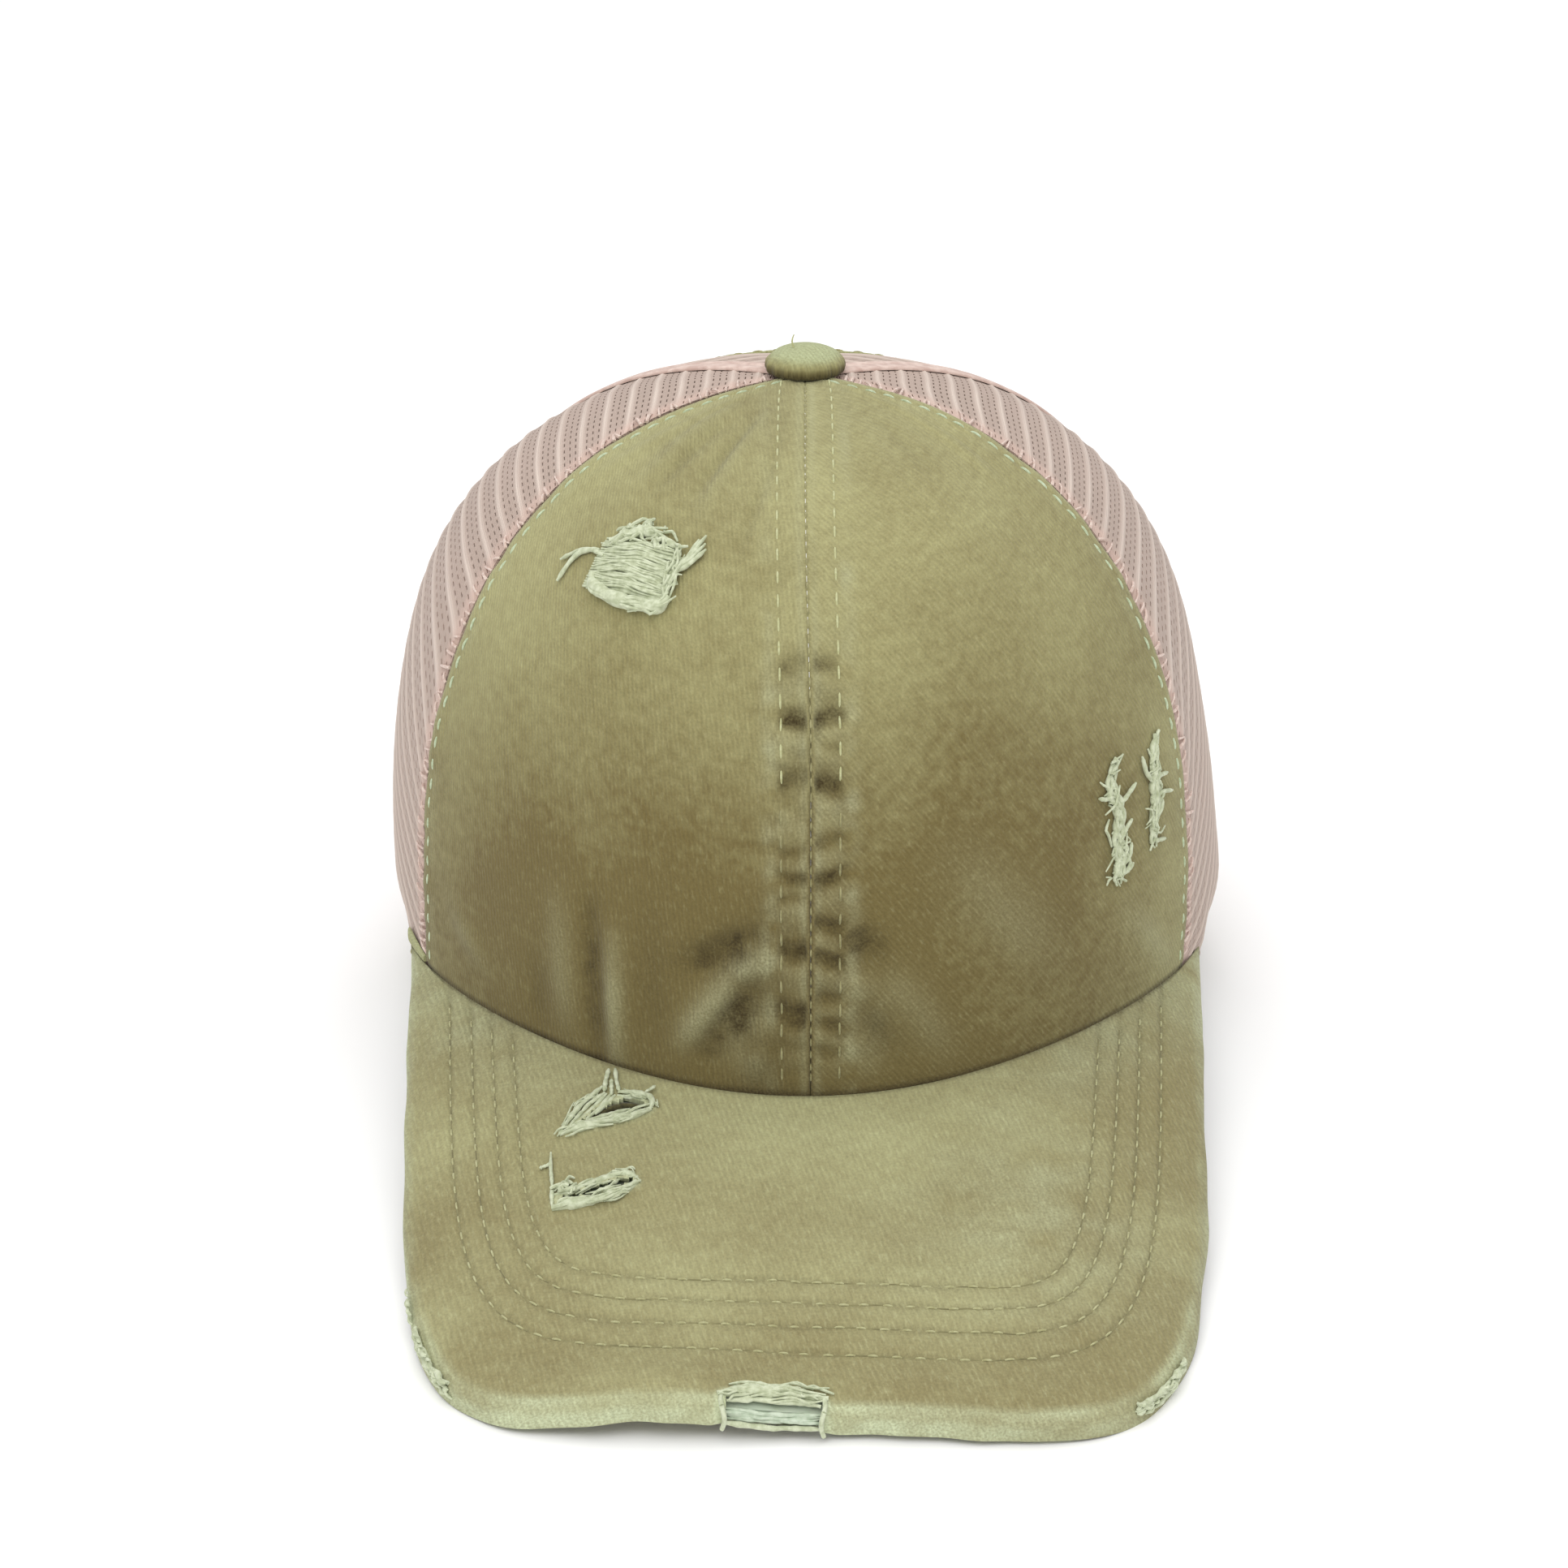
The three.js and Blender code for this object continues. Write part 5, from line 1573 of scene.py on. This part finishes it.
def peak_frays():
    rng = np.random.default_rng(171)
    left_edge = [(-44.6, -104.8), (-41.2, -98.4), (-37.4, -94.0)]
    left_inner = [(-43.0, -103.6), (-39.8, -98.2), (-36.9, -95.4)]
    low_edge = [(-44.6, -104.9), (-41, -103.6), (-36.4, -102.6), (-31.6, -101.4), (-28.2, -99.6)]
    right_edge = [(-34.3, -95.4), (-30.8, -95.9), (-28.4, -96.8), (-27.8, -98.4), (-28.4, -99.8)]
    stem = [[(-36.5, -89.6), (-36.9, -92.4), (-37.0, -95.2)], [(-35.3, -89.6), (-34.9, -92.6), (-34.2, -95.4)]]
    bundles = [
        (left_edge, 0.42, 0.6), (left_inner, 0.38, 0.4), (low_edge, 0.85, 0.35), (right_edge, 0.5, 0.6),
        (stem[0], 0.42, 0.5), (stem[1], 0.42, 0.6), ([(-35.9, -92), (-35.6, -96)], 0.4, 0.3),
    ]
    parts = peak_ropes(bundles, 300, 24, 0.3)
    fills = [
        [(-36.6, -95.4), (-38.9, -98.8), (-41.9, -102.6)], [(-35.8, -95.6), (-37.6, -98.8), (-40.2, -101.9)],
        [(-35.0, -95.8), (-36.2, -97.6), (-38.4, -100.4)], [(-34.6, -95.9), (-32.4, -96.6), (-29.6, -97.2)],
        [(-41.2, -103.0), (-36.6, -101.7), (-30.4, -99.7)], [(-40.4, -102.2), (-36.0, -100.6), (-32.0, -99.4)],
    ]
    parts += peak_ropes([(line, 0.4, 0.1) for line in fills], 320, 16, 0.3)
    parts.append(threads(OnPeak, [low_edge], 30, (3, 9), (0.18, 0.3), 0.4, (0.6, 1.3), rng, curl=0.4))
    parts.append(threads(OnPeak, [left_edge, right_edge], 10, (2, 6), (0.16, 0.26), 0.35, (0.4, 1.0), rng))
    parts.append(rope(OnPeak, [(-29.4, -95.9), (-28.2, -94.9), (-27.6, -94.3)], 0.3, 0.7, 31, 12, 8))
    make_piece("peak_root_fray", join(parts), fray_thread)

    low = [(-44.6, -122.4), (-41.8, -121.9), (-38.6, -121.5), (-34.8, -120.6), (-31.6, -119.2), (-29.9, -117.2)]
    high = [(-44.4, -119.4), (-41.6, -118.9), (-38.6, -117.5), (-34.8, -115.7), (-31.4, -114.9), (-29.8, -116.4)]
    upright = [(-45.7, -109.4), (-45.5, -112.8), (-44.9, -116.8), (-44.7, -120.4), (-44.4, -122.8)]
    cross = [(-47.5, -112.8), (-46.4, -112.4), (-45.4, -112.0)]
    bridge = [(-38.4, -120.6), (-36.2, -119.2), (-34.2, -117.4), (-33.0, -116.2)]
    bundles = [(low, 1.0, 0.4), (high, 0.6, 0.4), (upright, 0.4, 0.6), (cross, 0.36, 0.5), (bridge, 0.4, 0.2)]
    parts = peak_ropes(bundles, 340, 26, 0.4)
    parts.append(threads(OnPeak, [low], 34, (2.5, 8), (0.18, 0.3), 0.45, (0.7, 1.4), rng, curl=0.4))
    parts.append(threads(OnPeak, [high], 22, (2.5, 7), (0.16, 0.28), 0.5, (0.4, 1.0), rng, curl=0.4))
    tuft = [(-43.8, -118.2), (-42.4, -118.0), (-40.6, -118.2)]
    parts.append(threads(OnPeak, [tuft], 16, (1.5, 3), (0.22, 0.34), 0.6, (0.6, 1.5), rng, curl=0.7))
    make_piece("peak_slit_fray", join(parts), fray_thread)

    slits = [
        ([(-40.6, -101.4), (-36.4, -98.7), (-33.2, -97.7), (-29.6, -98.2)], 0.62, -0.75),
        ([(-39, -101.6), (-34, -98.9)], 0.4, -0.75),
        ([(-42.8, -120.3), (-38.5, -119.3), (-35.6, -118.3)], 0.42, -0.75),
        ([(-34.6, -117.9), (-31.0, -116.9)], 0.5, -0.75),
    ]
    make_piece("tear_shade_threads", join(peak_ropes(slits, 360, 20, 0.2)), dark_thread)


def rim_place(across, out_of_rim, down):
    """Points beside the rim: a little outside it, and some way down its edge."""
    edge = rim_point(across)
    step = 1e-4
    tangent = unit(rim_point(across + step) - rim_point(across - step))
    outward = np.stack([tangent[..., 1], -tangent[..., 0]], axis=-1)
    plan = edge + outward * np.asarray(out_of_rim)[..., None]
    height = peak_top(edge[..., 0], edge[..., 1]) - down
    facing = np.dstack([outward[None], np.zeros((1, len(across), 1))])[0]
    return np.concatenate([plan, height[..., None]], axis=-1), facing


def rim_rope(start, end, down, radius, seed, steps=30, lumps=0.35, outside=0.0):
    """A lumpy bundle along the rim between two of its places, with down as a share-by-share depth."""
    share = np.linspace(0, 1, steps)
    across = lerp(start, end, share)
    downs = np.interp(share, np.linspace(0, 1, len(down)), down)
    place, outward = rim_place(across, outside + 0.25 * soft_noise(share * 8, share * 0, seed), downs)
    swell = 1 + lumps * soft_noise(share * 9, share * 0 + 0.5, seed, 2)
    taper = np.clip(np.minimum(share, 1 - share) * 7, 0.3, 1) ** 0.5
    return tubes(place[None], (radius * swell * taper)[None], outward[None], 8)


def across_at(x, y):
    """The rim's parameter nearest to a place."""
    table = np.linspace(-0.999, 0.999, 1601)
    return float(table[np.argmin(np.hypot(RIM_TABLE[:, 0] - x, RIM_TABLE[:, 1] - y))])


def rim_frays():
    rng = np.random.default_rng(181)
    parts = []
    roll = [(-14.4, -164.4), (-11.5, -163.6), (-8.6, -162.8), (-5.4, -163.3), (-2.2, -162.8), (0.8, -163.6),
            (3.8, -163.9)]
    parts.append(rope(OnPeak, roll, 0.95, 0.25, 41, 44, 12, 0.35))
    under_roll = [(-12.8, -165.2), (-8.6, -164.3), (-4.0, -164.6), (0.4, -164.4), (2.6, -165.2)]
    parts.append(rope(OnPeak, under_roll, 0.55, -0.1, 43, 36, 8, 0.3))
    parts.append(threads(OnPeak, [roll], 40, (3, 9), (0.18, 0.3), 0.55, (0.5, 1.4), rng, curl=0.4))
    left, right = across_at(-13.6, -166.9), across_at(3.0, -166.9)
    for at, lean in ((left, 0.004), (right, -0.004)):
        share = np.linspace(0, 1, 16)
        across = at + lean * np.sin(share * math.pi)
        place, outward = rim_place(across, 0.35 + 0.35 * np.sin(share * math.pi), lerp(-0.3, 4.4, share))
        parts.append(tubes(place[None], np.full((1, 16), 0.42), outward[None], 8))
        side = 1 if at > left + 1e-9 else -1
        start = np.array([rim_point(np.array([at]))[0][0], -164.0, 0.4])
        end = np.array([rim_point(np.array([at]))[0][0], -166.6, 0.3])
        path = lerp(start, end, np.linspace(0, 1, 8)[:, None])
        path[:, 0] += 0.25 * side * np.sin(np.linspace(0, math.pi, 8))
        spot, up = OnPeak.place(path[None])
        parts.append(tubes(spot, np.full((1, 8), 0.42), up, 8))
    parts.append(rim_rope(left, right, [3.1, 3.4, 3.4, 3.1], 0.5, 47, 40, 0.3, 0.1))
    make_piece("rim_notch_fray", join(parts), fray_thread)
    fibres = [rim_rope(left, right, [down + 0.15, down + sag, down + 0.1], 0.36, 380 + number, 40, 0.4, -0.75)
              for number, (down, sag) in enumerate([(0.9, 0.4), (1.35, 0.3), (1.8, 0.25), (2.3, 0.1), (2.8, 0.0)])]
    make_piece("board_fibres", join(fibres), board_thread)
    shade = rim_rope(left, right, [3.6, 3.75, 3.6], 0.3, 391, 40, 0.2, -0.5)
    make_piece("rim_shade_thread", shade, dark_thread)

    parts = []
    spans = [
        (across_at(-66.7, -142.7), across_at(-59.5, -156.8), 46),
        (across_at(-69.3, -132.8), across_at(-68.1, -138.0), 8),
        (across_at(63.7, -150.3), across_at(54.4, -161.4), 60),
    ]
    for start, end, amount in spans:
        for _ in range(amount):
            at = lerp(start, end, rng.uniform(0, 1))
            length = rng.uniform(0.004, 0.012) * (1 if end > start else -1)
            down = rng.uniform(-0.2, 2.4)
            share = np.linspace(0, 1, 8)
            across = at + length * share
            lean = rng.uniform(-1.0, 1.0) * share
            outside = 0.05 + rng.uniform(0.05, 0.5) * np.sin(share * math.pi)
            place, outward = rim_place(across, outside, down + lean)
            thick = rng.uniform(0.2, 0.4) * (0.45 + 0.55 * np.sin(lerp(0.1, 0.9, share) * math.pi))
            parts.append(tubes(place[None], thick[None], outward[None], 6))
        if amount > 20:
            for down in (0.2, 1.0, 2.3):
                downs = [down, down + 0.4, down]
                parts.append(rim_rope(start, end, downs, 0.42, int(rng.integers(1e6)), 60, 0.7, -0.1))
    make_piece("rim_corner_frays", join(parts), fray_thread)


# Stage
def soft_light(name, place, aim, size, power, tint=(1, 1, 1)):
    light = bpy.data.lights.new(name, "AREA")
    light.shape = "RECTANGLE"
    light.size, light.size_y = size
    light.energy = power
    light.color = tint
    lamp = bpy.data.objects.new(name, light)
    bpy.context.scene.collection.objects.link(lamp)
    direction = unit(np.array(place, float) - np.array(aim, float))
    side = unit(np.cross([0.0, 0.0, 1.0], direction) if abs(direction[2]) < 0.99 else np.array([1.0, 0, 0]))
    up = np.cross(direction, side)
    lamp.matrix_world = Matrix([[side[k], up[k], direction[k], place[k]] for k in range(3)] + [[0, 0, 0, 1]])


def stage():
    reach = 8.0
    mesh = bpy.data.meshes.new("floor")
    corners = [(-reach, -reach, 0), (reach, -reach, 0), (reach, reach, 0), (-reach, reach, 0)]
    mesh.from_pydata(corners, [], [(0, 1, 2, 3)])
    material, nodes, links, surface = new_material("floor", 0.9, 0.0)
    place = nodes.new("ShaderNodeTexCoord").outputs["Object"]
    tint = ramp(nodes, links, noise(nodes, links, place, 3.0), 0.3, 0.7)
    base = mix_colour(nodes, links, tint, (0.93, 0.93, 0.93), (0.95, 0.95, 0.95))
    links.new(base, surface.inputs["Base Color"])
    mesh.materials.append(material)
    floor = bpy.data.objects.new("floor", mesh)
    bpy.context.scene.collection.objects.link(floor)
    floor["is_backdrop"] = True
    world = bpy.data.worlds.new("studio")
    bpy.context.scene.world = world
    world.use_nodes = True
    background = world.node_tree.nodes["Background"]
    background.inputs["Color"].default_value = (1, 1, 1, 1)
    background.inputs["Strength"].default_value = 0.42
    soft_light("ceiling", (0, 0.3, 2.6), (0, 0.301, 0), (5.2, 5.2), 118.0)
    soft_light("key", (-0.25, -0.85, 1.25), (0, 0, 0.05), (0.7, 0.7), 3.8, (1.0, 0.99, 0.97))
    soft_light("fill", (0, -1.7, 0.2), (0, 0, 0.03), (1.8, 0.35), 7.5)
    bpy.context.scene.view_settings.view_transform = "Standard"


def camera():
    data = bpy.data.cameras.new("camera")
    data.sensor_width = SENSOR_WIDTH
    data.lens = FOCAL_PIXELS / PHOTO_PIXELS * SENSOR_WIDTH
    data.shift_x = (PHOTO_PIXELS / 2 - CAP_MIDDLE_PIXEL) / PHOTO_PIXELS
    data.clip_start, data.clip_end = 0.01, 50
    back = np.array([0.0, -math.cos(CAMERA_ELEVATION), math.sin(CAMERA_ELEVATION)])
    up = np.array([0.0, math.sin(CAMERA_ELEVATION), math.cos(CAMERA_ELEVATION)])
    place = (CAMERA_LIFT * up + CAMERA_DISTANCE * back + CROWN_CENTRE) * MM
    made = bpy.data.objects.new("camera", data)
    bpy.context.scene.collection.objects.link(made)
    side = (1.0, 0.0, 0.0)
    made.matrix_world = Matrix([[side[k], up[k], back[k], place[k]] for k in range(3)] + [[0, 0, 0, 1]])
    bpy.context.scene.camera = made


camera()
stage()
for sign, label, finish in ((-1, "left", twill_left), (1, "right", twill_right)):
    front_panel(sign, label, finish)
    side_net(sign, label)
    rear_net(sign, label)
front_stitches()
net_seams()
net_seam_tapes()
hem_rows = trim_hem(-1, "left") + trim_hem(1, "right")
make_piece("hem_stitches", join(hem_rows), olive_thread)
hem_front()
trim_binding()
sweatband()
strap_half = OPENING_FOOT_HALF + BINDING_WIDTH
strap_rows = back_band(
    "strap_twill", "back_strap", -strap_half, strap_half, 0.0, STRAP_HEIGHT, STRAP_DEPTH, 0.01, 191
)
tab_rows = back_band(
    "tab_twill", "strap_tab", TAB_FROM, TAB_PAST_MIDDLE, TAB_INSET, STRAP_HEIGHT - TAB_INSET, TAB_DEPTH, 4.0, 195
)
make_piece("strap_stitches", join(strap_rows + tab_rows), olive_thread)
peak_pieces()
peak_stitches()
button()
crown_frays()
peak_frays()
rim_frays()

low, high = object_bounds()
{"cad": [list(cad_low), list(cad_high)], "visual": [list(low), list(high)]}
